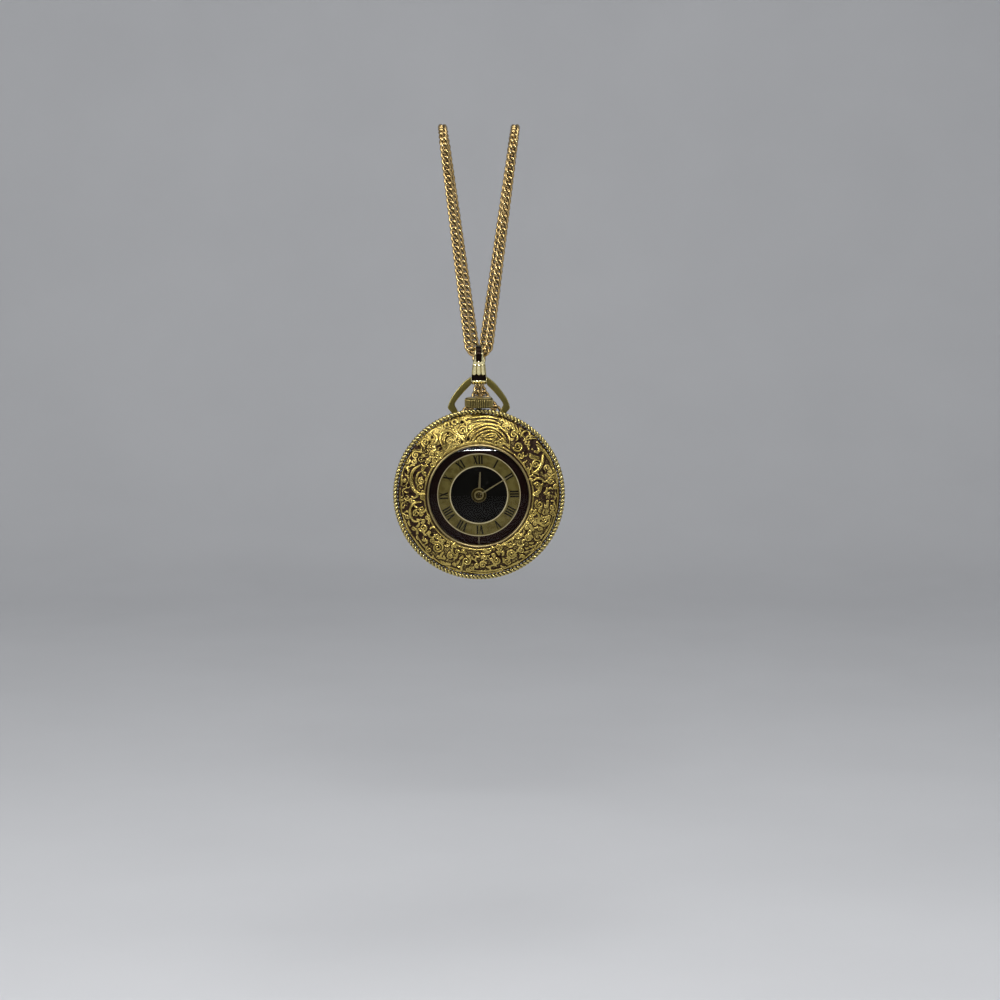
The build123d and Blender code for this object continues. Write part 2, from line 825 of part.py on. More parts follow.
spring_start = barrel_arbor_radius + mainspring_width
spring_pitch = (barrel_bore - mainspring_width - spring_start) / mainspring_turns
with BuildPart() as mainspring:
    slab(
        spiral(spring_start, spring_pitch, mainspring_turns, mainspring_width, barrel_at),
        core_bottom + running_gap,
        core_top - core_bottom - 2 * running_gap,
    )
write(mainspring.part, "mainspring")

with BuildPart() as barrel_arbor:
    slab(
        disc(barrel_journal_radius, barrel_at),
        ratchet_bottom_height,
        plate_top_height - ratchet_bottom_height,
    )
    slab(disc(barrel_arbor_radius, barrel_at), core_bottom, core_top - core_bottom)
write(barrel_arbor.part, "barrel_arbor")

with BuildPart() as ratchet_wheel:
    slab(
        toothed(ratchet_teeth, ratchet_module, ratchet_turn, barrel_at),
        ratchet_bottom_height,
        ratchet_thickness,
    )
    drill([barrel_at], barrel_journal_radius, ratchet_bottom_height, ratchet_thickness)
write(ratchet_wheel.part, "ratchet_wheel")

click_distance = ratchet_module * (ratchet_teeth / 2 + tip_share) + click_gap + click_width / 2
with BuildPart() as click:
    with BuildSketch(face(bridge_bottom_height - ratchet_thickness)):
        with Locations(polar(click_distance, click_angle, barrel_at)):
            SlotOverall(click_length, click_width, click_angle + 90)
    extrude(amount=ratchet_thickness)
write(click.part, "click")

with BuildPart() as crown_wheel:
    slab(
        toothed(crown_wheel_teeth, crown_wheel_module, ratchet_angle, crown_wheel_at),
        ratchet_bottom_height,
        ratchet_thickness,
    )
    journal_bottom = ratchet_bottom_height + ratchet_thickness
    journal_top = bridge_top_height + running_gap
    slab(disc(crown_journal_radius, crown_wheel_at), journal_bottom, journal_top - journal_bottom)
    slab(
        toothed(
            crown_wheel_lower_teeth,
            crown_wheel_module,
            90 + 180 / crown_wheel_lower_teeth,
            crown_wheel_at,
        ),
        journal_top,
        crown_wheel_lower_end - journal_top,
    )
write(crown_wheel.part, "crown_wheel")

# Going train: centre, third, fourth and escape wheels with their pinions
with BuildPart() as centre_wheel:
    slab(spoked(centre_teeth, centre_module, third_angle, (0, 0)), centre_wheel_height, wheel_thickness)
    slab(
        toothed(centre_leaves, barrel_module, centre_turn),
        centre_wheel_height + wheel_thickness,
        plate_bottom_height - running_gap - centre_wheel_height - wheel_thickness,
    )
    slab(
        disc(centre_arbor_radius),
        bridge_bottom_height,
        minute_hand_height + hand_thickness - bridge_bottom_height,
    )
write(centre_wheel.part, "centre_wheel")

with BuildPart() as third_wheel:
    slab(
        spoked(third_teeth, third_module, fourth_angle, third_at),
        third_wheel_height,
        wheel_thickness,
    )
    slab(
        toothed(third_leaves, centre_module, third_turn, third_at),
        bridge_top_height + 2 * running_gap,
        third_wheel_height - bridge_top_height - 2 * running_gap,
    )
    arbor(third_at, bridge_top_height, plate_bottom_height)
write(third_wheel.part, "third_wheel")

with BuildPart() as fourth_wheel:
    slab(
        spoked(fourth_teeth, fourth_module, escape_angle, fourth_at),
        fourth_wheel_height,
        wheel_thickness,
    )
    slab(
        toothed(fourth_leaves, third_module, fourth_turn, fourth_at),
        escape_height,
        fourth_wheel_height - escape_height,
    )
    arbor(fourth_at, bridge_top_height, plate_bottom_height)
write(fourth_wheel.part, "fourth_wheel")

escape_module = escape_radius / (escape_teeth / 2 + tip_share)
with BuildPart() as escape_wheel:
    slab(
        spoked(escape_teeth, escape_module, balance_angle, escape_at),
        escape_height,
        roller_thickness,
    )
    slab(
        toothed(escape_leaves, fourth_module, escape_turn, escape_at),
        escape_height + roller_thickness,
        plate_bottom_height - 2 * running_gap - escape_height - roller_thickness,
    )
    arbor(escape_at, bridge_top_height, plate_bottom_height)
write(escape_wheel.part, "escape_wheel")

# Pallet fork between the escape wheel and the balance
fork_reach = fork_length - arbor_radius - 2 * running_gap - fork_notch
with BuildPart() as pallet_fork:
    with BuildSketch(face(escape_height)):
        with Locations(pallet_at):
            Circle(fork_hub_radius)
        with Locations(polar(fork_reach / 2, balance_angle, pallet_at)):
            Rectangle(fork_reach, fork_width, balance_angle)
        with Locations(polar(fork_reach, balance_angle, pallet_at)):
            Rectangle(2 * fork_notch, 2 * fork_notch + fork_width, balance_angle)
        for sign in (-1, 1):
            arm_turn = balance_angle + 180 + sign * anchor_angle
            arm_end = polar(anchor_reach, arm_turn, pallet_at)
            with Locations(polar(anchor_reach / 2, arm_turn, pallet_at)):
                Rectangle(anchor_reach, fork_width, arm_turn)
            stone_turn = math.degrees(
                math.atan2(arm_end[1] - escape_at[1], arm_end[0] - escape_at[0])
            )
            stone_place = escape_radius + running_gap + stone_length / 2
            with Locations(polar(stone_place, stone_turn, escape_at)):
                Rectangle(stone_length, stone_width, stone_turn)
        with Locations(polar(fork_reach + fork_notch / 2, balance_angle, pallet_at)):
            Rectangle(
                2 * fork_notch,
                2 * roller_pin_radius + 2 * running_gap,
                balance_angle,
                mode=Mode.SUBTRACT,
            )
    extrude(amount=roller_thickness)
    arbor(pallet_at, pallet_bridge_top, plate_bottom_height)
write(pallet_fork.part, "pallet_fork")

# Balance wheel with its staff, roller, pin and collet, and the hairspring round the collet
roller_height = pallet_bridge_height + running_gap
with BuildPart() as balance_wheel:
    with BuildSketch(face(balance_height)):
        with Locations(balance_at):
            Circle(balance_radius)
            Circle(balance_radius - balance_rim, mode=Mode.SUBTRACT)
            Circle(wheel_hub)
            Rectangle(2 * balance_radius - balance_rim, spoke_width)
    extrude(amount=balance_thickness)
    slab(disc(roller_radius, balance_at), roller_height, roller_thickness)
    pin_at = polar(fork_notch + arbor_radius, balance_angle + 180, balance_at)
    slab(
        disc(roller_pin_radius, pin_at),
        roller_height,
        escape_height + roller_thickness - roller_height,
    )
    slab(
        disc(hairspring_start - hairspring_width, balance_at),
        hairspring_height,
        balance_height - hairspring_height,
    )
    arbor(balance_at, cock_top_height, plate_bottom_height)
write(balance_wheel.part, "balance_wheel")

stud_at = polar(hairspring_start + hairspring_turns * hairspring_pitch, 0, balance_at)
with BuildPart() as hairspring:
    slab(
        spiral(
            hairspring_start,
            hairspring_pitch,
            hairspring_turns,
            hairspring_width,
            balance_at,
        ),
        hairspring_height,
        hairspring_thickness,
    )
    slab(
        disc(hairspring_pitch, stud_at),
        cock_top_height,
        hairspring_height + hairspring_thickness - cock_top_height,
    )
write(hairspring.part, "hairspring")

# Motion work on the dial side, the dial and the hands
hand_top = minute_hand_height + hand_thickness
with BuildPart() as cannon_pinion:
    slab(
        toothed(cannon_leaves, cannon_module, minute_angle),
        plate_top_height + running_gap,
        cannon_teeth_length,
    )
    slab(
        disc(cannon_tube_radius),
        plate_top_height + running_gap,
        hand_top - plate_top_height - running_gap,
    )
    drill([(0, 0)], centre_arbor_radius + running_gap, plate_top_height, hand_top)
write(cannon_pinion.part, "cannon_pinion")

minute_turn = mating_turn(minute_angle, minute_angle, cannon_leaves, minute_teeth)
hour_bottom = dial_bottom_height - motion_gap - running_gap - wheel_thickness
minute_bottom = plate_top_height + motion_gap
with BuildPart() as minute_wheel:
    slab(toothed(minute_teeth, cannon_module, minute_turn, minute_at), minute_bottom, wheel_thickness)
    slab(
        toothed(minute_leaves, hour_module, minute_angle + 180, minute_at),
        minute_bottom + wheel_thickness,
        dial_bottom_height - motion_gap - minute_bottom - wheel_thickness,
    )
    drill([minute_at], post_radius + running_gap, plate_top_height, dial_bottom_height)
write(minute_wheel.part, "minute_wheel")

hour_bore = cannon_tube_radius + running_gap
hour_turn = mating_turn(minute_angle + 180, minute_angle + 180, minute_leaves, hour_teeth)
with BuildPart() as hour_wheel:
    slab(toothed(hour_teeth, hour_module, hour_turn), hour_bottom, wheel_thickness)
    slab(
        disc(hour_bore + hour_tube_wall),
        hour_bottom,
        hour_hand_height + hand_thickness - hour_bottom,
    )
    drill([(0, 0)], hour_bore, plate_top_height, hand_top)
write(hour_wheel.part, "hour_wheel")

with BuildPart() as dial:
    slab(disc(dial_radius, hole=dial_hole_radius), dial_bottom_height, dial_thickness)
    for place in dial_feet:
        slab(disc(foot_radius, place), dial_bottom_height - foot_length, foot_length)
write(dial.part, "dial")


def hand(length, boss, hole, angle, bottom):
    """Adds a tapering hand with a round boss, pressed on its tube."""
    with BuildSketch(face(bottom), mode=Mode.PRIVATE) as outline:
        with BuildLine():
            Polyline(
                polar(hand_root_width / 2, angle - 90),
                polar(hand_tip_width / 2, angle - 90, polar(length, angle)),
                polar(hand_tip_width / 2, angle + 90, polar(length, angle)),
                polar(hand_root_width / 2, angle + 90),
                close=True,
            )
        make_face()
        Circle(boss)
        Circle(hole, mode=Mode.SUBTRACT)
    extrude(outline.sketch, amount=hand_thickness)


with BuildPart() as hour_hand:
    hour_hole = hour_bore + hour_tube_wall
    hand(hour_hand_length, hour_boss_radius, hour_hole, hour_hand_angle, hour_hand_height)
write(hour_hand.part, "hour_hand")

with BuildPart() as minute_hand:
    hand(
        minute_hand_length,
        minute_boss_radius,
        cannon_tube_radius,
        minute_hand_angle,
        minute_hand_height,
    )
write(minute_hand.part, "minute_hand")

# Winding work: crown on its stem, the yoke that follows the stem, clutch and winding pinion
stem_top = crown_bottom + stem_in_crown
with BuildPart() as stem:
    with BuildSketch(rising(stem_inner_end)):
        Circle(stem_radius)
    extrude(amount=stem_top - stem_inner_end)
    with BuildSketch(rising(yoke_bottom - running_gap)):
        Circle(stem_radius)
        Circle(groove_radius, mode=Mode.SUBTRACT)
    extrude(amount=yoke_thickness + 2 * running_gap, mode=Mode.SUBTRACT)
write(stem.part, "stem")

crown_top = crown_bottom + crown_height
crown_corner = crown_round * crown_corner_share
with BuildPart() as crown:
    with BuildSketch(rising(crown_bottom)):
        Circle(crown_radius)
        with PolarLocations(crown_radius, crown_flutes):
            Circle(crown_flute_depth, mode=Mode.SUBTRACT)
    extrude(amount=crown_height + crown_dome)
    with BuildSketch(face(swing_height)):
        with BuildLine():
            Polyline(
                (0, crown_bottom),
                (crown_radius - crown_round, crown_bottom),
                (crown_radius, crown_bottom + crown_round),
                (crown_radius, crown_top - crown_round),
                (crown_radius - crown_corner, crown_top - crown_corner),
                (crown_radius - crown_round, crown_top),
            )
            ThreePointArc(
                (crown_radius - crown_round, crown_top),
                (crown_radius / 2, crown_top + crown_dome * crown_crest_share),
                (0, crown_top + crown_dome),
            )
            Line((0, crown_top + crown_dome), (0, crown_bottom))
        make_face()
    revolve(axis=Axis((0, 0, case_z), (0, 0, 1)), mode=Mode.INTERSECT)
    with BuildSketch(rising(crown_bottom)):
        Circle(stem_radius)
    extrude(amount=stem_in_crown, mode=Mode.SUBTRACT)
write(crown.part, "crown")

yoke_depth = yoke_front_height - yoke_back_height
with BuildPart() as setting_lever:
    with BuildSketch(rising(yoke_bottom)):
        with Locations((0, swing_height - (yoke_back_height + yoke_front_height) / 2)):
            Rectangle(yoke_width, yoke_depth)
        Circle(groove_radius + running_gap, mode=Mode.SUBTRACT)
        with Locations((0, yoke_depth / 2)):
            Rectangle(2 * (groove_radius + running_gap), yoke_depth, mode=Mode.SUBTRACT)
    extrude(amount=yoke_thickness)
write(setting_lever.part, "setting_lever")

with BuildPart() as clutch:
    with BuildSketch(rising(clutch_bottom)):
        Circle(clutch_radius)
        Circle(stem_radius + running_gap, mode=Mode.SUBTRACT)
    extrude(amount=clutch_length)
    with BuildSketch(rising(clutch_bottom + clutch_groove)):
        Circle(clutch_radius)
        Circle(clutch_radius - clutch_groove, mode=Mode.SUBTRACT)
    extrude(amount=clutch_groove, mode=Mode.SUBTRACT)
write(clutch.part, "clutch")

with BuildPart() as winding_pinion:
    with BuildSketch(rising(winding_bottom)):
        add(toothed(winding_teeth, winding_module, 90))
        Circle(stem_radius + running_gap, mode=Mode.SUBTRACT)
    extrude(amount=winding_length)
write(winding_pinion.part, "winding_pinion")

# Bow: two flat shaped legs, a round bar between them and a pin at each foot
bow_foot_rise = hinge_rise - bow_foot_drop
with BuildPart() as bow:
    with BuildSketch(face(swing_height)) as legs:
        with BuildLine():
            ThreePointArc(
                (bow_bar_half, bow_top_rise),
                (bow_mid_x, bow_mid_rise),
                (bow_shoulder_x, bow_shoulder_rise),
            )
            ThreePointArc(
                (bow_shoulder_x, bow_shoulder_rise),
                (bow_heel_x, bow_heel_rise),
                (bow_foot_x, bow_foot_rise),
            )
            Polyline(
                (bow_foot_x, bow_foot_rise),
                (bow_end_x, bow_foot_rise),
                (bow_end_x, bow_neck_rise),
                (bow_inner_shoulder_x, bow_inner_shoulder_rise),
            )
            ThreePointArc(
                (bow_inner_shoulder_x, bow_inner_shoulder_rise),
                (bow_inner_mid_x, bow_inner_mid_rise),
                (bow_bar_half, bow_inner_top_rise),
            )
            Line((bow_bar_half, bow_inner_top_rise), (bow_bar_half, bow_top_rise))
        make_face()
    extrude(amount=bow_thickness / 2, both=True)
    flat_edges = bow.edges().group_by(Axis.Y)
    fillet(flat_edges[0] + flat_edges[-1], bow_round)
    mirror(about=Plane.YZ)
    for bar_radius, rise, start, length in (
        (bow_bar_radius, bow_bar_rise, -bow_bar_half - overrun, 2 * bow_bar_half + 2 * overrun),
        (pin_radius, hinge_rise, ear_inner_x + running_gap, bow_end_x + overrun - ear_inner_x),
        (pin_radius, hinge_rise, -bow_end_x - overrun, bow_end_x + overrun - ear_inner_x),
    ):
        with BuildSketch(side(start)):
            with Locations((0, rise)):
                Circle(bar_radius)
        extrude(amount=length - running_gap)
write(bow.part, "bow")

# Bail: a strip folded round the bow's bar and the chain, narrower at the top
foot_eye_rise = bow_bar_rise + bail_foot_eye_radius - bow_bar_radius - running_gap
lean = math.asin((bail_eye_radius - bail_foot_eye_radius) / (bail_eye_rise - foot_eye_rise))
bail_top = bail_eye_rise + bail_eye_radius + bail_wall
bail_bottom = foot_eye_rise - bail_foot_eye_radius - bail_wall
with BuildPart() as bail:
    with BuildSketch(side(-bail_foot_half)):
        for rise, radius in (
            (bail_eye_rise, bail_eye_radius),
            (foot_eye_rise, bail_foot_eye_radius),
        ):
            with Locations((0, rise)):
                Circle(radius + bail_wall)
        make_hull()
    extrude(amount=2 * bail_foot_half)
    with BuildSketch(side(-bail_foot_half - overrun)):
        for rise, radius in (
            (bail_eye_rise, bail_eye_radius),
            (foot_eye_rise, bail_foot_eye_radius),
        ):
            with Locations((0, rise)):
                Circle(radius)
        make_hull()
    extrude(amount=2 * bail_foot_half + 2 * overrun, mode=Mode.SUBTRACT)
    with BuildSketch(face(swing_height)):
        with BuildLine():
            Polyline(
                (-bail_foot_half, bail_bottom - overrun),
                (bail_foot_half, bail_bottom - overrun),
                (bail_foot_half, foot_eye_rise),
                (bail_waist_half, bail_waist_rise),
                (bail_shoulder_half, bail_shoulder_rise),
                (bail_top_half, bail_eye_rise),
                (bail_top_half, bail_top + overrun),
                (-bail_top_half, bail_top + overrun),
                (-bail_top_half, bail_eye_rise),
                (-bail_shoulder_half, bail_shoulder_rise),
                (-bail_waist_half, bail_waist_rise),
                (-bail_foot_half, foot_eye_rise),
                close=True,
            )
        make_face()
    extrude(amount=support_depth, both=True, mode=Mode.INTERSECT)
    groove_y = -(bail_foot_eye_radius + bail_wall) * math.cos(lean)
    groove_rise = foot_eye_rise - (bail_foot_eye_radius + bail_wall) * math.sin(lean)
    groove_length = (bail_eye_rise - foot_eye_rise) * math.cos(lean) * bail_groove_share
    for groove_x in (-bail_groove_half, bail_groove_half):
        with BuildSketch(
            Plane(
                origin=(groove_x, groove_y, case_z + groove_rise),
                x_dir=(1, 0, 0),
                z_dir=(0, -math.sin(lean), math.cos(lean)),
            )
        ):
            Circle(bail_groove_radius)
        extrude(amount=groove_length, mode=Mode.SUBTRACT)
write(bail.part, "bail")


def cord_radii(points):
    """Each corner's bend radius: as large as the shorter run beside it allows."""
    radii = []
    for before, corner, after in zip(points, points[1:], points[2:]):
        into = Vector(*corner) - Vector(*before)
        out = Vector(*after) - Vector(*corner)
        half_turn = math.radians(into.get_angle(out)) / 2
        radii.append(run_share * min(into.length, out.length) / math.tan(half_turn))
    return radii


# Chain: hangs over the support, runs through the bail and down behind the watch to the coil
coil_inner_radius = coil_outer_radius - 2 * coil_pitch
far_depth = support_depth + coil_pitch
slant = math.sqrt(1 / 2)
last_radius = coil_outer_radius + coil_pitch / 4
coil_end = coil_pitch / 4 + coil_end_straight
end_ring_reach = end_ring_radius + end_ring_wire / 2
end_ring_place = coil_end - chain_in_clasp + end_ring_reach
clasp_place = end_ring_place + clasp_radius
loop_z = case_z + bail_eye_rise + bail_eye_radius - chain_width / 2 - loop_gap


def on_slant(radius, depth, distance):
    """A point on the stretch that leaves the coil going up; on the left with a minus radius."""
    across = (abs(radius) - distance) * slant
    rise = (abs(radius) + distance) * slant
    return (math.copysign(across, radius), depth, case_z + rise)


chain_points = [
    on_slant(-coil_outer_radius, support_depth, coil_straight),
    (-chain_back_half, support_depth, case_z + coil_outer_radius / slant - chain_back_half),
    (-chain_half_spread, support_depth, 0),
    (-chain_half_spread, 0, 0),
    (-chain_loop_half, 0, loop_z),
    (chain_loop_half, 0, loop_z),
    (chain_half_spread, 0, 0),
    (chain_half_spread, far_depth, 0),
    (chain_back_half, far_depth, case_z + last_radius / slant - chain_back_half),
    on_slant(last_radius, far_depth, clasp_place + clasp_radius + clasp_wire / 2 - chain_in_clasp),
]
chain_radii = cord_radii(chain_points)
print("bends of the chain", [round(radius, 2) for radius in chain_radii])
with BuildPart() as chain:
    with BuildLine() as chain_path:
        FilletPolyline(*chain_points, radius=chain_radii)
    with BuildSketch(
        Plane(origin=chain_path.line @ 0, z_dir=chain_path.line % 0)
    ):
        Circle(chain_width / 2)
    sweep(path=chain_path.line)
write(chain.part, "chain")
chain_section = math.pi * chain_width**2 / 4
print("chain", round(chain_path.wire().length, 1), "mm, volume against section times length")
print(round(chain.part.volume, 2), round(chain_section * chain_path.wire().length, 2))


def on_coil(radius, azimuth, depth):
    """A point of the coil behind the case, at an azimuth from the right, seen from the dial."""
    across, rise = polar(radius, azimuth)
    return Vector(across, depth, case_z + rise)


def forward(azimuth):
    """The direction in which the coil runs at an azimuth."""
    return Vector(-math.sin(math.radians(azimuth)), 0, math.cos(math.radians(azimuth)))


# Coil: two flat layers of two turns each, joined by a half turn that climbs to the second layer
with BuildPart() as chain_coil:
    with BuildLine() as coil_path:
        Line(
            on_slant(-coil_outer_radius, support_depth, coil_straight),
            on_coil(coil_outer_radius, left_azimuth, support_depth),
        )
        for step in range(half_turns):
            azimuth = left_azimuth if step % 2 == 0 else right_azimuth
            outer = coil_outer_radius - step * coil_pitch / 2
            TangentArc(
                on_coil(outer, azimuth, support_depth),
                on_coil(outer - coil_pitch / 2, azimuth + 180, support_depth),
                tangent=forward(azimuth),
            )
        low_end = on_coil(coil_inner_radius, left_azimuth, support_depth)
        high_end = on_coil(coil_inner_radius, right_azimuth, far_depth)
        handle = (high_end - low_end).length / 2
        low_handle = low_end + forward(left_azimuth) * handle
        high_handle = high_end - forward(right_azimuth) * handle
        joint = (low_handle + high_handle) * (1 / 2)
        TangentArc(low_end, joint, tangent=forward(left_azimuth))
        TangentArc(joint, high_end, tangent=high_handle - low_handle)
        for step in range(half_turns):
            azimuth = right_azimuth if step % 2 == 0 else left_azimuth
            inner = coil_inner_radius + step * coil_pitch / 2
            TangentArc(
                on_coil(inner, azimuth, far_depth),
                on_coil(inner + coil_pitch / 2, azimuth + 180, far_depth),
                tangent=forward(azimuth),
            )
        TangentArc(
            on_coil(coil_outer_radius, right_azimuth, far_depth),
            on_slant(last_radius, far_depth, coil_pitch / 4),
            tangent=forward(right_azimuth),
        )
        Line(
            on_slant(last_radius, far_depth, coil_pitch / 4),
            on_slant(last_radius, far_depth, coil_end),
        )
    with BuildSketch(Plane(origin=coil_path.line @ 0, z_dir=coil_path.line % 0)):
        Circle(chain_width / 2)
    sweep(path=coil_path.line)
write(chain_coil.part, "chain_coil")
coil_length = coil_path.wire().length
print("coil", round(coil_length, 1), "mm, volume against section times length")
print(round(chain_coil.part.volume, 2), round(chain_section * coil_length, 2))
samples = [coil_path.wire() @ (place / coil_samples) for place in range(coil_samples + 1)]
apart = int(2 * coil_pitch * coil_samples / coil_length)
least = min(
    (samples[here] - samples[there]).length
    for here in range(len(samples))
    for there in range(here + apart, len(samples))
)
print("least gap in the coil", round(least - chain_width, 3))

# Spring-ring clasp with its knob, the end ring that links it to the coil, and a tie
with BuildPart(
    Plane(
        origin=on_slant(last_radius, far_depth, clasp_place),
        x_dir=(-slant, 0, slant),
        z_dir=(slant, 0, slant),
    )
) as clasp:
    Torus(clasp_radius, clasp_wire / 2)
    with Locations((0, -clasp_radius - clasp_wire / 2, 0)):
        Cylinder(clasp_knob_radius, clasp_knob_length, rotation=(90, 0, 0))
write(clasp.part, "clasp")

with BuildPart(
    Plane(
        origin=on_slant(last_radius, far_depth, end_ring_place),
        x_dir=(1, 0, 0),
        z_dir=(0, -1, 0),
    )
) as end_ring:
    Torus(end_ring_radius, end_ring_wire / 2)
write(end_ring.part, "end_ring")

with BuildPart() as coil_tie:
    with BuildSketch(side(-tie_width / 2)):
        with Locations(
            ((support_depth + far_depth) / 2, -(coil_inner_radius + coil_outer_radius) / 2)
        ):
            tie_depth = coil_pitch + chain_width + 2 * tie_gap
            tie_rise = coil_outer_radius - coil_inner_radius + chain_width + 2 * tie_gap
            Rectangle(tie_depth + 2 * tie_wall, tie_rise + 2 * tie_wall)
            Rectangle(tie_depth, tie_rise, mode=Mode.SUBTRACT)
    extrude(amount=tie_width)
write(coil_tie.part, "coil_tie")
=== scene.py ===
"""The looks of a pendant watch on its chain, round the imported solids.

Lengths here are millimetres, and become metres where a mesh is made. The watch hangs with its
dial towards -Y. Places in the case are given as seen from the dial: x to the right, y up from
the middle of the dial, and a height above the outside of the back cover.
"""

import math

import bmesh
import bpy
import numpy as np
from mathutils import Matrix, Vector


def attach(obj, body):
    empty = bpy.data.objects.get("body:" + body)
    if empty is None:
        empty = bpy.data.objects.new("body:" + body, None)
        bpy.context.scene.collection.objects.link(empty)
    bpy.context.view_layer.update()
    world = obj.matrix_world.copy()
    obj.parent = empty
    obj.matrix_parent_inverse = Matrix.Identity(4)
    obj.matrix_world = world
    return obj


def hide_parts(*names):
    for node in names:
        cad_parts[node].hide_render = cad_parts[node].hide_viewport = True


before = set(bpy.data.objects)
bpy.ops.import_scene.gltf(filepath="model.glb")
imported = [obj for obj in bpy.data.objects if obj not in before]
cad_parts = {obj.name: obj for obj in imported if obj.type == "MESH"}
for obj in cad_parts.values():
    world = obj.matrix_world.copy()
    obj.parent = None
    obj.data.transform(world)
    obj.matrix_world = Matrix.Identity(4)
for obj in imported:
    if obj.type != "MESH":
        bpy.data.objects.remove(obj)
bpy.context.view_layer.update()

# Bezel: the broad domed ring round the crystal. It is struck in brass with leaf scrolls on a
# punched ground, gilded and toned dark in its hollows, and it is pressed over the case band.
case_rise = -80.4
hinge_height = 3.25
bezel_inner = 11.45
bezel_outer = 17.9
dome_points = ((bezel_inner, 7.3), (15.3, 6.75), (bezel_outer, 5.0))
bezel_under = (
    (bezel_outer, 4.85), (bezel_outer, 4.3), (16.62, 4.3), (16.62, 5.0), (15.7, 5.0),
    (12.35, 6.45), (bezel_inner, 6.45), (bezel_inner, 7.15),
)


def spread(x, y, z):
    """Points from their three coordinates, each widened to the whole grid."""
    return np.stack(np.broadcast_arrays(x, y, z), axis=-1).astype(float)


def in_case(x, y, height):
    """Points of the hanging watch from places in the case: depth is the hinge's height less the
    point's height, and the rise starts from the middle of the case."""
    return spread(x, hinge_height - height, case_rise + y)


def round_case(angle, reach, height):
    """Points of the hanging watch from angles and reaches round the middle of the case."""
    return in_case(reach * np.cos(angle), reach * np.sin(angle), height)


def circle(count):
    """Angles at even steps round a circle."""
    return np.linspace(0, 2 * np.pi, count, endpoint=False)


def pointing(angle):
    """Unit vectors in a plane, from the angles that they point at."""
    return np.stack([np.cos(angle), np.sin(angle)], axis=-1)


def quads_over(rows, columns, close_rows, close_columns):
    """The quads between neighbours of a grid of points, as numbers of their corners. A grid that
    closes on itself joins its last row or column to the first."""
    index = np.arange(rows * columns).reshape(rows, columns)
    if close_rows:
        index = np.vstack([index, index[:1]])
    if close_columns:
        index = np.hstack([index, index[:, :1]])
    quads = [index[:-1, :-1], index[:-1, 1:], index[1:, 1:], index[1:, :-1]]
    return np.stack(quads, axis=-1).reshape(-1, 4)


def surface(name, points, close_rows=False, close_columns=False, crease=40.0, shade=None):
    """A mesh over a grid of points. Points that coincide are merged, and the faces are turned so
    that the signed volume, a sixth of the sum of each corner's triple product with its two
    neighbours, comes out positive. The mesh is smooth but for edges sharper than the crease. A
    share for each point goes with it: 1 where toning lies and where shade is painted, 0 where the
    toning is rubbed off and where light is painted."""
    quads = quads_over(*points.shape[:2], close_rows, close_columns)
    flat = points.reshape(-1, 3)
    a, b, c, d = (flat[quads[:, corner]] - flat.mean(axis=0) for corner in range(4))
    volume = (np.cross(a, b) * c).sum() + (np.cross(a, c) * d).sum()
    if volume < 0:
        quads = quads[:, ::-1]
    mesh = bpy.data.meshes.new(name)
    mesh.from_pydata((flat * 0.001).tolist(), [], quads.tolist())
    if shade is not None:
        carry_toning_and_painted_shade(mesh, np.broadcast_to(shade, points.shape[:2]))
    working = bmesh.new()
    working.from_mesh(mesh)
    bmesh.ops.remove_doubles(working, verts=working.verts, dist=1e-8)
    working.to_mesh(mesh)
    working.free()
    mesh.shade_smooth()
    mesh.set_sharp_from_angle(angle=math.radians(crease))
    return linked(name, mesh)


def carry_toning_and_painted_shade(mesh, values):
    """Gives a mesh its share of toning and painted shade, one value for each point."""
    mesh.attributes.new("toning_and_painted_shade", "FLOAT", "POINT")
    mesh.attributes["toning_and_painted_shade"].data.foreach_set("value", values.ravel().astype(np.float32))


def linked(name, data):
    """An object in the scene that shows a mesh, a curve, a lamp or a camera."""
    added = bpy.data.objects.new(name, data)
    bpy.context.scene.collection.objects.link(added)
    return added


class Wire:
    """A value in a finish. Each operator on it adds one Math node, and works out what it says."""

    def __init__(self, finish, socket):
        self.finish = finish
        self.socket = socket

    def math(self, operation, first, second=0.0):
        return self.finish.node("ShaderNodeMath", {"operation": operation}, {0: first, 1: second})

    def __add__(self, other):
        return self.math("ADD", self, other)

    def __radd__(self, other):
        return self.math("ADD", other, self)

    def __sub__(self, other):
        return self.math("SUBTRACT", self, other)

    def __rsub__(self, other):
        return self.math("SUBTRACT", other, self)

    def __mul__(self, other):
        return self.math("MULTIPLY", self, other)

    def __rmul__(self, other):
        return self.math("MULTIPLY", other, self)

    def __pow__(self, other):
        return self.math("POWER", self, other)

    def __abs__(self):
        return self.math("ABSOLUTE", self)


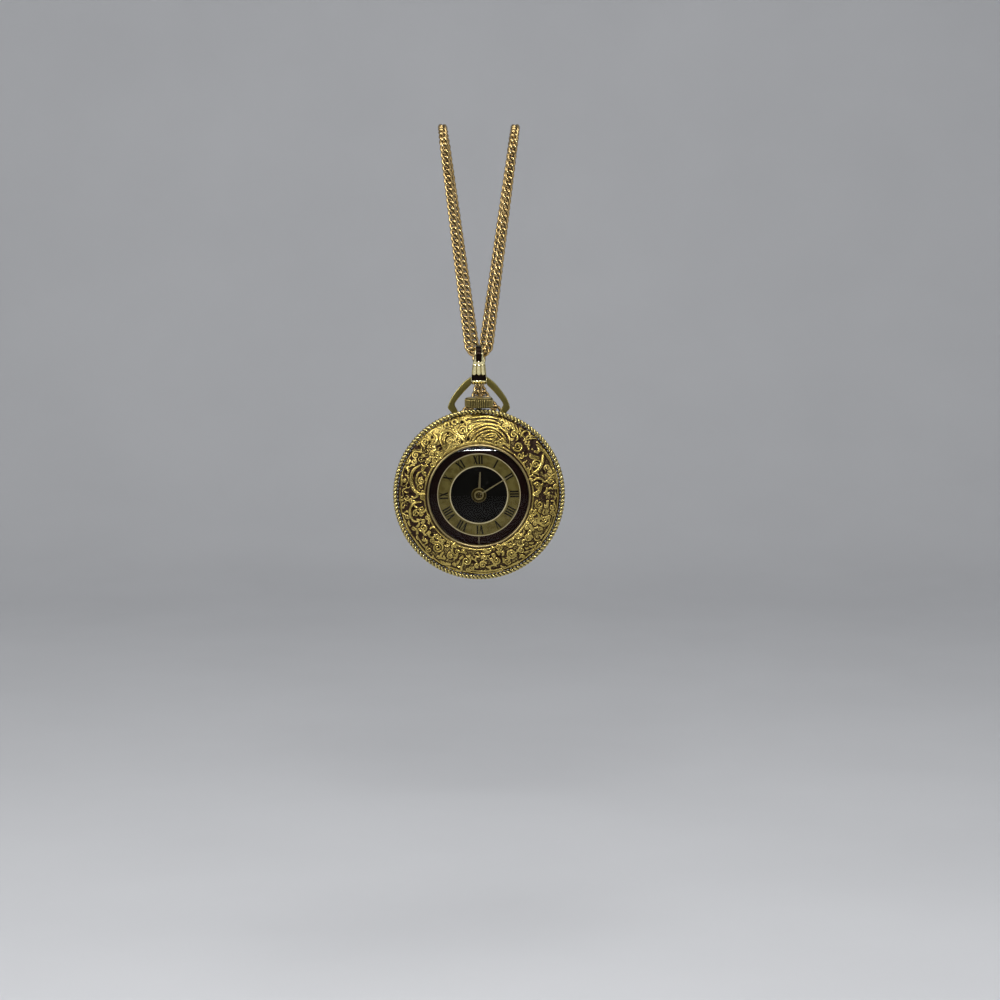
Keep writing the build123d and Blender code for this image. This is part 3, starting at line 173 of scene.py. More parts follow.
class Finish:
    """A finish of one metal, print or gum, or the room's light, built from shader nodes."""

    def __init__(self, name, owner=None):
        self.owner = owner or bpy.data.materials.new(name)
        self.owner.use_nodes = True
        self.tree = self.owner.node_tree
        self.tree.nodes.clear()

    def node(self, kind, settings=None, sockets=None, output=0):
        """Adds a node: its settings come first, then the values or links of its sockets."""
        added = self.tree.nodes.new(kind)
        for setting, value in (settings or {}).items():
            setattr(added, setting, value)
        for socket, value in (sockets or {}).items():
            if isinstance(value, Wire):
                self.tree.links.new(value.socket, added.inputs[socket])
            else:
                added.inputs[socket].default_value = value
        return Wire(self, added.outputs[output]) if added.outputs else None

    def place(self, scale=(1.0, 1.0, 1.0)):
        """Where a point lies, in millimetres from the middle of the case at the hinge."""
        metres = self.node("ShaderNodeTexCoord", None, None, "Object")
        settings = {"vector_type": "POINT"}
        scaled = tuple(1000 * share for share in scale)
        sockets = {"Vector": metres, "Scale": scaled, "Location": (0, 0, -case_rise * scale[2])}
        return self.node("ShaderNodeMapping", settings, sockets)

    def parts(self, vector=None):
        """The three parts of a vector, or of where a point lies."""
        vector = vector or self.place()
        return [self.node("ShaderNodeSeparateXYZ", None, {"Vector": vector}, part) for part in "XYZ"]

    def toning_and_painted_shade(self):
        """The share of toning and painted shade that a mesh carries: 1 where toning lies and where shade is
        painted, 0 where the toning is rubbed off and where light is painted.
        """
        return self.node("ShaderNodeAttribute", {"attribute_name": "toning_and_painted_shade"}, None, "Fac")

    def noise(self, size, detail=2.0, place=None, rough=0.5):
        """Soft noise whose features are about that many millimetres across, from 0 to 1."""
        sockets = {
            "Vector": place or self.place(),
            "Scale": 1 / size,
            "Detail": detail,
            "Roughness": rough,
        }
        return self.node("ShaderNodeTexNoise", None, sockets)

    def step(self, value, low, high, start=0.0, end=1.0):
        """A smooth step of a value from one number to another."""
        sockets = {0: value, 1: low, 2: high, 3: start, 4: end}
        return self.node("ShaderNodeMapRange", {"interpolation_type": "SMOOTHSTEP"}, sockets)

    def blend(self, share, first, second):
        """A mix of two colours by a share from 0 to 1."""
        return self.node("ShaderNodeMix", {"data_type": "RGBA"}, {0: share, 6: first, 7: second}, 2)

    def bump(self, height, depth):
        """A normal from a height between 0 and 1 whose full depth is in millimetres."""
        sockets = {"Height": height, "Distance": depth * 0.001, "Strength": 1.0}
        return self.node("ShaderNodeBump", None, sockets)

    def shade(self, colour, roughness, normal=None, **others):
        """Ends the finish with its principled shader. Its other sockets come by name, with a low
        line for each space."""
        sockets = {"Base Color": colour, "Roughness": roughness}
        if normal:
            sockets["Normal"] = normal
        for socket, value in others.items():
            sockets[socket.replace("_", " ")] = value
        shader = self.node("ShaderNodeBsdfPrincipled", None, sockets)
        self.node("ShaderNodeOutputMaterial", None, {"Surface": shader})
        return self.owner


def tone(red, green, blue):
    """A colour from its values of 0 to 255 on a screen: each is raised to the power 2.2."""
    return tuple((value / 255) ** 2.2 for value in (red, green, blue)) + (1.0,)


def fit(piece, material, body, slot, *solids):
    """Gives a piece its material, and ties it to the body that it moves with."""
    piece.data.materials.clear()
    piece.data.materials.append(material)
    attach(piece, body)
    if solids:
        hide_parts(*solids)


def dome_height(radius):
    """The bezel's height at a radius: on the circle through the three points of its dome."""
    (x1, y1), (x2, y2), (x3, y3) = dome_points
    rows = np.array([[x2 - x1, y2 - y1], [x3 - x1, y3 - y1]])
    sums = np.array([x2**2 + y2**2 - x1**2 - y1**2, x3**2 + y3**2 - x1**2 - y1**2]) / 2
    middle = np.linalg.solve(rows, sums)
    reach = math.hypot(x1 - middle[0], y1 - middle[1])
    return middle[1] + np.sqrt(reach**2 - (radius - middle[0]) ** 2)


def flowing(corners, step=0.07):
    """A smooth line through its corners: on each span the four nearest corners are weighted by
    the cubic that passes through the middle two and is parallel to the line of its neighbours."""
    corners = np.array(corners, float)
    padded = np.vstack([2 * corners[0] - corners[1], corners, 2 * corners[-1] - corners[-2]])
    pieces = []
    for span in range(len(corners) - 1):
        p0, p1, p2, p3 = padded[span : span + 4]
        count = max(int(np.linalg.norm((p2 - p1)[:2]) / step), 2)
        t = np.arange(count)[:, None] / count
        bend = (2 * p0 - 5 * p1 + 4 * p2 - p3) * t**2 + (3 * p1 - p0 - 3 * p2 + p3) * t**3
        pieces.append((2 * p1 + (p2 - p0) * t + bend) / 2)
    return np.vstack(pieces + [corners[-1:]])


def curl(x, y, reach, start, turns, width=0.34, height=0.3):
    """A scroll's eye: a spiral from its reach inwards to a bead, its line thinning on the way."""
    share = np.linspace(0, 1, max(int(abs(turns) * 26 * reach), 8))
    angle = math.radians(start) + 2 * math.pi * turns * share
    radius = reach * (1 - 0.78 * share)
    line = np.array([x, y]) + radius[:, None] * pointing(angle)
    thin = np.interp(share, [0, 0.75, 1], [width, 0.62 * width, 0.95 * width])
    return np.column_stack([line, thin, np.full(len(share), height)])


def stem_line(corners, width=0.34, height=0.3, tip=0.35):
    """A raised line through its corners that thins towards both ends."""
    line = flowing(corners)
    share = np.linspace(0, 1, len(line))
    thin = width * (tip + (1 - tip) * np.sin(np.pi * share) ** 0.6)
    return np.column_stack([line, thin, np.full(len(line), height)])


def leaf(x, y, length, turn, bend=0.5, lobes=4, width=0.3, height=0.26):
    """A leaf: a bent midrib with lobes on its outer side, each a short line that leaves the
    midrib at a growing angle and shortens towards the tip."""
    share = np.linspace(0, 1, 5)
    heading = math.radians(turn) + bend * share
    steps = length / 4 * pointing(heading)
    rib = np.array([x, y]) + np.vstack([[0, 0], np.cumsum(steps[:-1], axis=0)])
    spine = flowing(rib)
    lines = [stem_line(rib, width, height, 0.5)]
    side = math.copysign(1, bend)
    for lobe in range(lobes):
        at = (lobe + 0.6) / (lobes + 0.4)
        root = spine[int(at * (len(spine) - 1))]
        away = math.radians(turn) + bend * at - side * (1.05 - 0.35 * at)
        reach = length * (0.42 - 0.22 * at)
        middle = root + reach * 0.55 * pointing(away)
        tip = root + reach * pointing(away + side * 0.35)
        lines.append(stem_line([root, middle, tip], width * 1.05, height * 0.95, 0.55))
    return lines


def ringlet(x, y, across, up, turn=0.0, width=0.28, height=0.26):
    """A raised oval line."""
    angle = np.linspace(0, 2 * np.pi, 40)
    along, over = across * np.cos(angle), up * np.sin(angle)
    tilt = math.radians(turn)
    across = x + along * math.cos(tilt) - over * math.sin(tilt)
    rise = y + along * math.sin(tilt) + over * math.cos(tilt)
    return np.column_stack([across, rise, np.full(40, width), np.full(40, height)])


stems = (
    (
        0.3, 0.3, (-2.9, 11.9), (-2.4, 13.5), (-0.7, 15.1), (2.0, 15.8), (4.8, 15.0), (6.5, 13.2),
        (6.8, 11.2),
    ),
    (
        0.27, 0.3, (-2.1, 11.9), (-1.4, 13.4), (0.2, 14.6), (2.2, 15.1), (4.3, 14.4), (5.7, 12.9),
        (6.0, 11.3),
    ),
    (0.22, 0.3, (-1.4, 12.1), (-0.6, 13.2), (0.7, 14.0), (2.3, 14.45), (4.0, 13.9), (5.1, 12.6)),
    (0.22, 0.3, (1.7, 13.0), (2.6, 13.15), (3.5, 13.3)),
    (0.3, 0.3, (-2.2, 16.9), (-0.4, 17.25), (2.0, 17.35), (4.2, 16.8)),
    (0.24, 0.3, (-1.4, 16.3), (0.6, 16.65), (2.6, 16.6), (4.4, 16.0)),
    (0.3, 0.3, (9.2, 12.9), (9.9, 14.0), (10.9, 14.1), (11.4, 13.2)),
    (0.42, 0.36, (14.1, 9.1), (14.0, 7.6), (13.2, 6.0), (11.9, 5.1), (11.7, 5.9)),
    (0.42, 0.34, (12.7, 11.1), (14.4, 9.7), (15.6, 8.0), (16.1, 6.4)),
    (0.44, 0.34, (16.4, 5.9), (17.1, 4.4), (17.35, 2.6)),
    (0.3, 0.3, (12.0, 3.6), (13.1, 3.9), (14.3, 3.4)),
    (0.34, 0.3, (12.2, -3.3), (13.2, -4.3), (13.1, -5.6), (14.2, -6.7), (15.4, -6.2), (15.5, -4.9)),
    (0.3, 0.3, (16.9, -4.3), (16.3, -6.4), (15.3, -8.5), (14.0, -10.3)),
    (0.22, 0.3, (16.2, -4.9), (15.7, -6.4), (14.8, -8.1), (13.6, -9.6)),
    (0.34, 0.3, (-1.5, -17.2), (0.6, -17.6), (3.0, -17.5), (5.3, -16.9)),
    (0.26, 0.3, (-1.2, -16.8), (1.0, -16.95), (3.2, -16.8), (5.0, -16.3)),
    (0.36, 0.34, (-6.9, -16.3), (-5.7, -17.1), (-4.2, -17.0), (-3.9, -16.2), (-4.8, -15.9)),
    (0.3, 0.3, (-14.4, -9.4), (-13.4, -11.1), (-11.9, -12.8), (-10.2, -14.2)),
    (0.22, 0.3, (-13.5, -9.2), (-12.5, -10.9), (-11.1, -12.3)),
    (0.36, 0.34, (-12.6, -1.3), (-14.1, -1.6), (-15.1, -2.8), (-15.1, -4.4), (-14.3, -5.7), (-13.1, -5.6)),
    (0.46, 0.38, (-13.0, 6.7), (-14.4, 5.6), (-14.9, 3.6), (-14.4, 1.6), (-13.2, 0.5), (-11.8, 0.35)),
    (0.3, 0.34, (-12.3, 5.6), (-13.4, 4.9), (-13.8, 3.4), (-13.4, 2.1)),
    (0.3, 0.3, (-16.4, 6.2), (-17.0, 4.2), (-17.1, 2.0)),
    (0.34, 0.34, (-10.2, 13.9), (-9.2, 12.8), (-9.6, 11.6), (-10.6, 11.6)),
    (0.34, 0.34, (-8.0, 11.0), (-8.5, 12.6), (-7.9, 14.0), (-6.5, 14.3), (-5.4, 13.6)),
    (0.22, 0.3, (-7.2, 10.9), (-7.6, 12.2), (-7.0, 13.3), (-6.1, 13.4)),
    (0.34, 0.34, (-2.6, 14.9), (-2.7, 16.0), (-3.8, 16.7), (-4.4, 15.9)),
)
eyes = (
    (4.75, 11.95, 0.85, 60, -1.6, 0.27), (0.3, 12.4, 0.6, 100, 1.3, 0.25), (8.6, 10.9, 1.05, 200, 1.6, 0.3),
    (7.7, 13.5, 0.8, 20, 1.2, 0.28), (12.6, 7.0, 0.95, 40, 1.3, 0.3), (15.9, 3.2, 0.8, 80, 1.3, 0.28),
    (12.9, 2.2, 0.8, 150, -1.4, 0.28), (13.3, -1.9, 0.95, 120, 1.4, 0.28),
    (16.2, -2.6, 0.75, 60, -1.3, 0.26), (14.3, -5.3, 0.75, 240, 1.3, 0.26),
    (10.9, -9.4, 0.9, 10, 1.4, 0.28), (7.2, -12.9, 1.05, 300, -1.7, 0.3), (9.4, -12.1, 0.75, 90, 1.3, 0.26),
    (0.9, -15.4, 0.8, 30, 1.4, 0.28), (3.9, -14.4, 0.95, 170, 1.5, 0.28),
    (-2.8, -14.5, 1.05, 80, -1.5, 0.3), (-6.3, -13.4, 0.9, 20, 1.3, 0.28),
    (-9.1, -11.5, 1.3, 130, -1.9, 0.3), (-12.3, -7.1, 0.95, 200, 1.4, 0.28),
    (-13.8, -3.9, 0.75, 90, 1.4, 0.26), (-12.6, 3.3, 0.72, 90, 1.5, 0.3, 0.34),
    (-15.9, 7.5, 0.7, 20, -1.3, 0.26), (-13.9, 8.9, 0.8, 100, 1.3, 0.28),
    (-11.7, 11.7, 0.95, 250, -1.4, 0.3), (-6.4, 12.1, 0.72, 80, 1.3, 0.26),
    (-3.6, 14.4, 1.05, 330, 1.6, 0.34, 0.36), (-4.4, 12.0, 0.6, 180, 1.2, 0.24),
    (-10.3, 9.0, 0.7, 60, 1.2, 0.24),
)
ovals = (
    (2.6, 13.1, 1.35, 0.62, 8, 0.25), (13.1, -11.2, 0.95, 0.5, 48, 0.24), (-7.1, 15.6, 0.5, 0.5, 0, 0.24),
    (-5.4, 16.2, 0.55, 0.5, 0, 0.24),
)
leaves = (
    (10.2, 12.2, 2.6, 20, -0.7), (-12.2, 9.4, 2.3, 160, 0.7), (-9.6, 14.7, 2.6, 200, 0.9),
    (-2.6, 16.9, 2.4, 190, 0.5), (11.6, -7.4, 2.4, 250, 0.8), (6.4, -15.9, 2.6, 12, 0.6),
    (-8.6, -14.6, 2.4, 330, 0.6), (-16.2, -6.3, 2.4, 285, 0.6), (-12.0, -1.0, 2.2, 110, -0.7),
    (12.0, 0.6, 2.2, 20, 0.9), (-4.6, -13.0, 2.0, 200, -0.8), (11.2, 9.3, 2.2, 320, 0.8),
)
raised = [stem_line(corners, width, height) for width, height, *corners in stems]
raised += [curl(*eye) for eye in eyes]
raised += [ringlet(*oval) for oval in ovals]
raised += [line for place in leaves for line in leaf(*place)]
for flute in range(6):
    foot = (5.1 + 0.75 * flute, 17.1 - 0.42 * flute)
    waist = (5.9 + 0.72 * flute, 15.9 - 0.48 * flute)
    head = (7.2 + 0.62 * flute, 15.1 - 0.55 * flute)
    raised.append(stem_line([foot, waist, head], 0.24, 0.28))
sunken = np.array(
    [
        (-8.8, 10.7, 0.75), (-12.0, 9.8, 0.7), (-12.9, 8.0, 0.8), (-13.5, 10.4, 0.7), (-11.0, 11.6, 0.5),
        (-10.4, 12.9, 0.4), (-14.0, 4.6, 0.55), (-16.6, 5.1, 0.7), (-16.9, 2.1, 0.7), (-15.5, 2.1, 0.5),
        (-3.8, 16.3, 0.35), (-6.8, 13.7, 0.3), (-7.0, 12.8, 0.3), (-2.5, 12.6, 0.5), (-3.8, 11.9, 0.35),
        (12.2, 12.4, 0.7), (10.9, 12.4, 0.5), (11.6, 10.7, 0.5), (10.4, 9.3, 0.6), (8.5, 10.4, 0.6),
        (8.5, 15.1, 0.6), (10.5, 14.1, 0.6), (12.9, 7.7, 0.45), (14.6, 5.3, 0.6), (13.4, 3.05, 0.45),
        (14.5, 2.6, 0.4), (14.3, 1.4, 0.5), (15.6, -0.5, 0.6), (10.7, -7.9, 0.45), (4.4, -13.6, 0.45),
        (2.5, -13.6, 0.4), (-0.6, -12.9, 0.35), (-1.3, -14.8, 0.45), (-5.5, -13.2, 0.4), (-7.4, -10.6, 0.45),
        (-8.7, -11.3, 0.4), (-10.3, -8.7, 0.4), (-13.7, -4.5, 0.45), (-14.6, -3.0, 0.45), (-16.5, -0.1, 0.7),
        (-15.2, 0.2, 0.5), (13.9, -3.3, 0.35), (9.0, 12.0, 0.4), (7.4, 8.9, 0.4), (-16.0, -1.9, 0.5),
    ]
)
# Patches of painted light and shade: a spot, a size and a share, which darkens above zero and lightens below
# it.
painted_patches = np.array(
    [
        (-16.2, 1.5, 4.8, 0.65), (-14.6, 7.6, 3.2, 0.3), (11.6, 11.6, 4.0, 0.45), (13.0, 5.6, 3.0, 0.15),
        (14.6, 1.0, 3.0, 0.25), (-13.4, -6.0, 4.8, 0.4), (-9.6, 13.4, 4.0, -0.4), (-1.0, 14.6, 5.0, -0.25),
        (16.4, 4.6, 1.8, -0.4), (2.0, -15.4, 6.0, 0.12), (12.4, -11.4, 4.5, 0.04),
    ]
)


def strike(x, y, lines, into):
    """Raises lines on the ground, as a ball of the line's width run along it would: at a
    distance d from a line of half width w, the height is the line's times the root of
    1 - (d / w) squared. Where lines meet, the higher one holds."""
    for line in lines:
        reach = line[:, 2].max()
        low, high = line[:, :2].min(axis=0) - reach, line[:, :2].max(axis=0) + reach
        near = (x > low[0]) & (x < high[0]) & (y > low[1]) & (y < high[1])
        if not near.any():
            continue
        apart = (x[near][:, None] - line[:, 0]) ** 2 + (y[near][:, None] - line[:, 1]) ** 2
        ball = np.clip(1 - apart / line[:, 2] ** 2, 0, None)
        into[near] = np.maximum(into[near], (line[:, 3] * np.sqrt(ball)).max(axis=1))


columns, rows = 1170, 68
angle = circle(columns)
radius = np.linspace(bezel_inner + 0.12, bezel_outer - 0.1, rows)
angles, radii = np.meshgrid(angle, radius, indexing="ij")
x, y = radii * np.cos(angles), radii * np.sin(angles)
relief = np.zeros_like(x)
strike(x, y, raised, relief)
chooser = np.random.default_rng(7)
filling_tries = 900
already_filled = 0.055
for _ in range(filling_tries):
    turn = chooser.uniform(0, 2 * np.pi)
    spot = math.sqrt(chooser.uniform(12.2**2, 17.2**2)) * pointing(turn)
    size = chooser.uniform(0.42, 0.8)
    heading = chooser.uniform(0, 360)
    kind = chooser.integers(0, 3)
    close = (x - spot[0]) ** 2 + (y - spot[1]) ** 2 < size**2
    if relief[close].mean() > already_filled:
        continue
    if kind == 0:
        added = [curl(*spot, size, heading, chooser.choice([-1.2, 1.2]), 0.24, 0.25)]
    elif kind == 1:
        added = leaf(*spot, 1.9 * size, heading, chooser.choice([-0.8, 0.8]), 3, 0.22, 0.23)
    else:
        ends = size * pointing(heading)
        side = np.array([-ends[1], ends[0]]) * 0.5
        added = [stem_line([spot - ends, spot + side, spot + ends], 0.25, 0.25)]
    strike(x, y, added, relief)
border_height, border_width = 0.17, 0.16
for border_reach in (11.95, 17.45):
    ridge = border_height * np.exp(-(((radii - border_reach) / border_width) ** 2))
    relief = np.maximum(relief, ridge)
pit_depth = 0.34
ground_depth = 0.12
punch_height = 0.035
pitted = np.zeros_like(x)
for pit_x, pit_y, size in sunken:
    across, up = x - pit_x, y - pit_y
    skew = np.abs(across + 0.3 * up) ** 3 + np.abs(up - 0.3 * across) ** 3
    pitted = np.maximum(pitted, np.exp(-1.3 * skew / size**3))
pitted *= np.clip(1 - (relief - 0.2) / 0.08, 0, 1)
relief -= pit_depth * pitted
# Painted light and shade: the patches deepen the toning in some places and lighten it in others.
painted_light_and_shade = np.zeros_like(x)
for spot_x, spot_y, size, share in painted_patches:
    painted_light_and_shade += share * np.exp(-((x - spot_x) ** 2 + (y - spot_y) ** 2) / size**2)
grain = chooser.normal(0, 1, relief.shape)
grain = (grain + np.roll(grain, 1, 0) + np.roll(grain, 1, 1) + np.roll(grain, (1, 1), (0, 1))) / 4
ground = np.clip(1 - relief / ground_depth, 0, 1)
relief += punch_height * grain * ground
smoothed = relief.copy()
for _ in range(5):
    smoothed = (np.roll(smoothed, 1, 0) + np.roll(smoothed, -1, 0) + smoothed * 2) / 4
    inner = np.pad(smoothed, ((0, 0), (1, 1)), mode="edge")
    smoothed = (inner[:, :-2] + inner[:, 2:] + smoothed * 2) / 4
below = (smoothed - relief) / ground_depth
# Toning lies in the hollows, on the ground and in the pits; the patches add painted light and shade to it.
toning_and_painted_shade = np.clip(below + 0.26 * ground + 0.9 * pitted + painted_light_and_shade * (0.3 + ground), 0, 1)
mean_relief = 0.14
rise = relief - mean_relief
slope = np.gradient(dome_height(radius), radius)
lean = np.hypot(1, slope)
top = np.stack([radii - slope / lean * rise, dome_height(radii) + rise / lean], axis=-1)
edge = np.clip(np.minimum(radii - bezel_inner, bezel_outer - radii) / 0.35, 0, 1)[..., None]
plain = np.stack([radii, dome_height(radii)], axis=-1)
top = plain + (top - plain) * edge
under = np.array(bezel_under[::-1])
under = np.vstack([np.linspace(a, b, 3)[:-1] for a, b in zip(under, under[1:])] + [under[-1:]])
under = np.broadcast_to(under[::-1], (columns,) + under.shape)
section = np.concatenate([top, under], axis=1)
points = round_case(angles[:, :1], section[..., 0], section[..., 1])
toning_and_painted_shade = np.concatenate([toning_and_painted_shade, np.full(under.shape[:2], 0.35)], axis=1)
bezel = surface("bezel_scrollwork", points, True, True, 180, toning_and_painted_shade)

gilt = Finish("struck_gilt")
painted_shade_and_toning = gilt.toning_and_painted_shade()
patches = gilt.noise(2.6, 3)
specks = gilt.noise(0.22, 3, rough=0.6)
# The share of toning and of the bezel's painted light and shade takes the gilt towards umber.
toned_and_shaded = gilt.step(painted_shade_and_toning + 0.4 * (patches - 0.5) + 0.3 * (specks - 0.5), 0.1, 0.46)
bright = gilt.blend(gilt.step(patches, 0.35, 0.65), tone(192, 170, 98), tone(166, 146, 80))
umber = gilt.blend(gilt.step(specks, 0.3, 0.7), tone(22, 13, 8), tone(62, 42, 27))
gilt_material = gilt.shade(
    gilt.blend(toned_and_shaded, bright, umber),
    0.2 + 0.12 * specks + 0.3 * toned_and_shaded,
    gilt.bump(gilt.noise(0.16, 3, rough=0.65), 0.022),
    Metallic=1 - 0.25 * toned_and_shaded,
)
fit(bezel, gilt_material, "case", "case_gold", "bezel")

# Rope edge: two drawn wires twisted together and soldered round the rim of the bezel. The
# turns stand out as small bright beads, with dark toning left between them.
rope_reach = 18.45
rope_height = 4.75
rope_wire = 0.55
rope_turns = 138
rope_rows = rope_turns * 9
angle = circle(rope_rows)[:, None]
round_wire = circle(14)[None, :]
lobe = np.abs(np.cos((rope_turns * angle + 2 * round_wire) / 2)) ** 0.75
reach = rope_wire * (0.56 + 0.44 * lobe)
from_axis = rope_reach + reach * np.cos(round_wire)
points = round_case(angle, from_axis, rope_height + reach * np.sin(round_wire))
rope = surface("bezel_rope_edge", points, True, True, 180, 1 - lobe)
twist = Finish("rope_gilt")
painted_shade_and_toning = twist.toning_and_painted_shade()
worn = twist.noise(1.5, 3)
toned_and_shaded = twist.step(painted_shade_and_toning + 0.3 * (worn - 0.5), 0.25, 0.6)
rope_material = twist.shade(
    twist.blend(toned_and_shaded, tone(190, 173, 110), tone(24, 15, 9)),
    0.18 + 0.3 * toned_and_shaded + 0.1 * worn,
    twist.bump(twist.noise(0.2, 2), 0.012),
    Metallic=1 - 0.25 * toned_and_shaded,
)
fit(rope, rope_material, "case", "case_gold")

# Crystal ring: a turned pale gilt ring, pushed up through the bezel from below. Its rounded
# rim grips the crystal and shows as a thin bright line round it.
ring_section = [
    (10.95, 6.05), (12.15, 6.05), (12.15, 6.45), (11.45, 6.45), (11.45, 7.4), (11.2, 7.65), (10.95, 7.4),
]


def unit(vectors):
    """Vectors with their length made one."""
    return vectors / np.linalg.norm(vectors, axis=-1, keepdims=True)


def eased(corners, radius, steps=4, closed=True):
    """Corners rounded off: each is replaced by the curve that leaves one side and meets the next
    at the radius from the corner, weighted (1-t) squared, 2t(1-t) and t squared."""
    corners = np.array(corners, float)
    t = np.linspace(0, 1, steps + 1)[:, None]
    pieces = []
    for place, corner in enumerate(corners):
        if not closed and place in (0, len(corners) - 1):
            pieces.append(corner[None])
            continue
        before = corners[place - 1] - corner
        after = corners[(place + 1) % len(corners)] - corner
        cut = min(radius, 0.45 * np.linalg.norm(before), 0.45 * np.linalg.norm(after))
        start, end = corner + unit(before) * cut, corner + unit(after) * cut
        pieces.append((1 - t) ** 2 * start + 2 * t * (1 - t) * corner + t**2 * end)
    return np.vstack(pieces)


def turned(name, section, count, crease=40.0):
    """A section of radii and heights turned round the middle of the case; a closed section
    gives a ring, and one that starts and ends on the axis gives a solid."""
    section = np.array(section)
    points = round_case(circle(count)[:, None], section[:, 0], section[:, 1])
    return surface(name, points, True, True, crease)


crystal_ring = turned("crystal_rim", eased(ring_section, 0.16), 220, 60)


def even_finish(name, light, dark, grain, rough, depth, drift=None, brush=(1, 1, 1), relief=None, **even):
    """A finish whose fine grain varies its roughness, its normal and how far its colour goes from
    light to dark. Grain is a noise's size and how finely it divides, and rough is the least
    roughness and what the grain adds. A drift or relief is a noise of its own for the colour or
    the normal. What is the same all over comes last."""
    finish = Finish(name)
    fine = finish.noise(*grain, finish.place(brush))
    slow = finish.noise(*drift) if drift else fine
    raised_by = finish.noise(*relief) if relief else fine
    colour = finish.blend(slow, light, dark)
    return finish.shade(colour, rough[0] + rough[1] * fine, finish.bump(raised_by, depth), **even)


pale_material = even_finish(
    "polished_pale_gold",
    tone(178, 160, 114),
    tone(152, 136, 94),
    drift=(4.0, 2),
    grain=(0.5, 4),
    rough=(0.24, 0.12),
    depth=0.006,
    brush=(1.0, 1.0, 0.12),
    Metallic=1.0,
)
fit(crystal_ring, pale_material, "case", "pale_gold", "crystal_ring")

# Crystal: a moulded clear dome with a short straight wall, snapped into its ring. It is thin
# enough to look straight through, and shines like polished acrylic.
dome_reach = 10.95
dome_top = 9.1
dome_rise = 1.7
crystal_wall = 0.7
crystal_foot = 5.6
share = np.sin(np.linspace(0, np.pi / 2, 26))
inner_reach = dome_reach - crystal_wall
outer = np.column_stack([dome_reach * share, dome_top - dome_rise * share**2])
inner = np.column_stack([inner_reach * share, dome_top - crystal_wall - dome_rise * share**2])
foot = [(dome_reach, crystal_foot), (inner_reach, crystal_foot)]
crystal_section = np.vstack([outer, foot, inner[::-1]])
crystal = turned("crystal_dome", crystal_section, 160, 50)
clear = Finish("clear_acrylic")
facing = clear.node("ShaderNodeLayerWeight", None, {"Blend": 0.5}, "Facing")
glance = 0.04 + 0.96 * facing**5
across, deep, up = clear.parts()
middle_reach = dome_reach - crystal_wall / 2
bowed = hinge_height - deep + (across * across + up * up) * (dome_rise / middle_reach**2)
outside = clear.step(bowed, dome_top - 0.5, dome_top - 0.2)
smears = clear.noise(6.0, 3)
polish = {"Color": (0.19, 0.19, 0.2, 1), "Roughness": 0.008 + 0.012 * smears}
shine = clear.node("ShaderNodeBsdfGlossy", None, polish)
through = clear.node("ShaderNodeBsdfTransparent", None, {"Color": (0.91, 0.9, 0.87, 1)})
covered = clear.node("ShaderNodeMixShader", None, {0: glance * outside, 1: through, 2: shine})
clear.node("ShaderNodeOutputMaterial", None, {"Surface": covered})
fit(crystal, clear.owner, "case", "crystal", "crystal")

# Case band and back cover: the turned middle of the case with the bow's two ears and the stem
# tube, and the shallow cap that snaps into it. Both are gilt brass, lightly brushed and worn.


def gold_finish(name, light, dark, rough=0.2, brush=(1.0, 1.0, 1.0), depth=0.006):
    """A gold finish: its colour drifts slowly, and fine brushing and a few scuffs vary its
    roughness and normal."""
    gold = Finish(name)
    slow = gold.noise(5.0, 2)
    fine = gold.noise(0.35, 4, gold.place(brush))
    scuffs = gold.step(gold.noise(1.1, 6, rough=0.7), 0.55, 0.75)
    return gold.shade(
        gold.blend(gold.step(slow, 0.3, 0.7), light, dark),
        rough + 0.1 * fine + 0.12 * scuffs,
        gold.bump(fine + 0.5 * scuffs, depth),
        Metallic=1.0,
    )


def dress(material, *solids):
    """Gives carried-over solids their material."""
    for solid in solids:
        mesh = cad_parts[solid].data
        mesh.materials.clear()
        mesh.materials.append(material)


case_material = gold_finish("case_gilt", tone(206, 182, 104), tone(178, 156, 88), 0.22)
dress(case_material, "case_band")
back = Finish("brushed_back")
across, _, up = back.parts()
reach = (across * across + up * up) ** 0.5
rings = back.node("ShaderNodeCombineXYZ", None, {"X": reach * 9.0, "Y": 0.0, "Z": 0.0})
brushed = back.noise(1.0, 4.0, rings, 0.6)
scuffs = back.step(back.noise(1.4, 6, rough=0.72), 0.56, 0.74)
back_material = back.shade(
    back.blend(back.noise(6.0, 2), tone(208, 186, 112), tone(184, 162, 94)),
    0.2 + 0.14 * brushed + 0.12 * scuffs,
    back.bump(brushed + 0.4 * scuffs, 0.006),
    Metallic=1.0,
)
dress(back_material, "back_cover")

# Gasket: a moulded ring of black rubber with a dull skin, squeezed between the back cover and
# the band to seal the case.
gum_material = even_finish(
    "black_rubber",
    tone(26, 26, 27),
    tone(44, 44, 45),
    grain=(0.3, 4),
    rough=(0.62, 0.2),
    depth=0.02,
)
dress(gum_material, "back_gasket")

# Dial: a brass disc, lacquered black with a reddish-brown edge and printed with a satin
# champagne hour ring between two cream lines. It lies in a seat of the main plate.
chapter_inner = 6.35
chapter_outer = 9.1
print_edge = 0.03
printed = Finish("printed_dial")
across, _, up = printed.parts()
reach = (across * across + up * up) ** 0.5
in_ring = printed.step(reach, chapter_inner - print_edge, chapter_inner + print_edge)
in_ring *= printed.step(reach, chapter_outer - print_edge, chapter_outer + print_edge, 1.0, 0.0)
cloud = printed.noise(1.3, 4)
speckle = printed.noise(0.12, 3)
clouded = printed.step(cloud + 0.2 * (speckle - 0.5), 0.35, 0.7)
champagne = printed.blend(clouded, tone(128, 119, 71), tone(106, 96, 54))
outside = printed.step(reach, 9.0, 9.2)
black = printed.blend(outside, tone(10, 9, 6), tone(28, 10, 7))
base = printed.blend(in_ring, black, champagne)
lines = 0.0
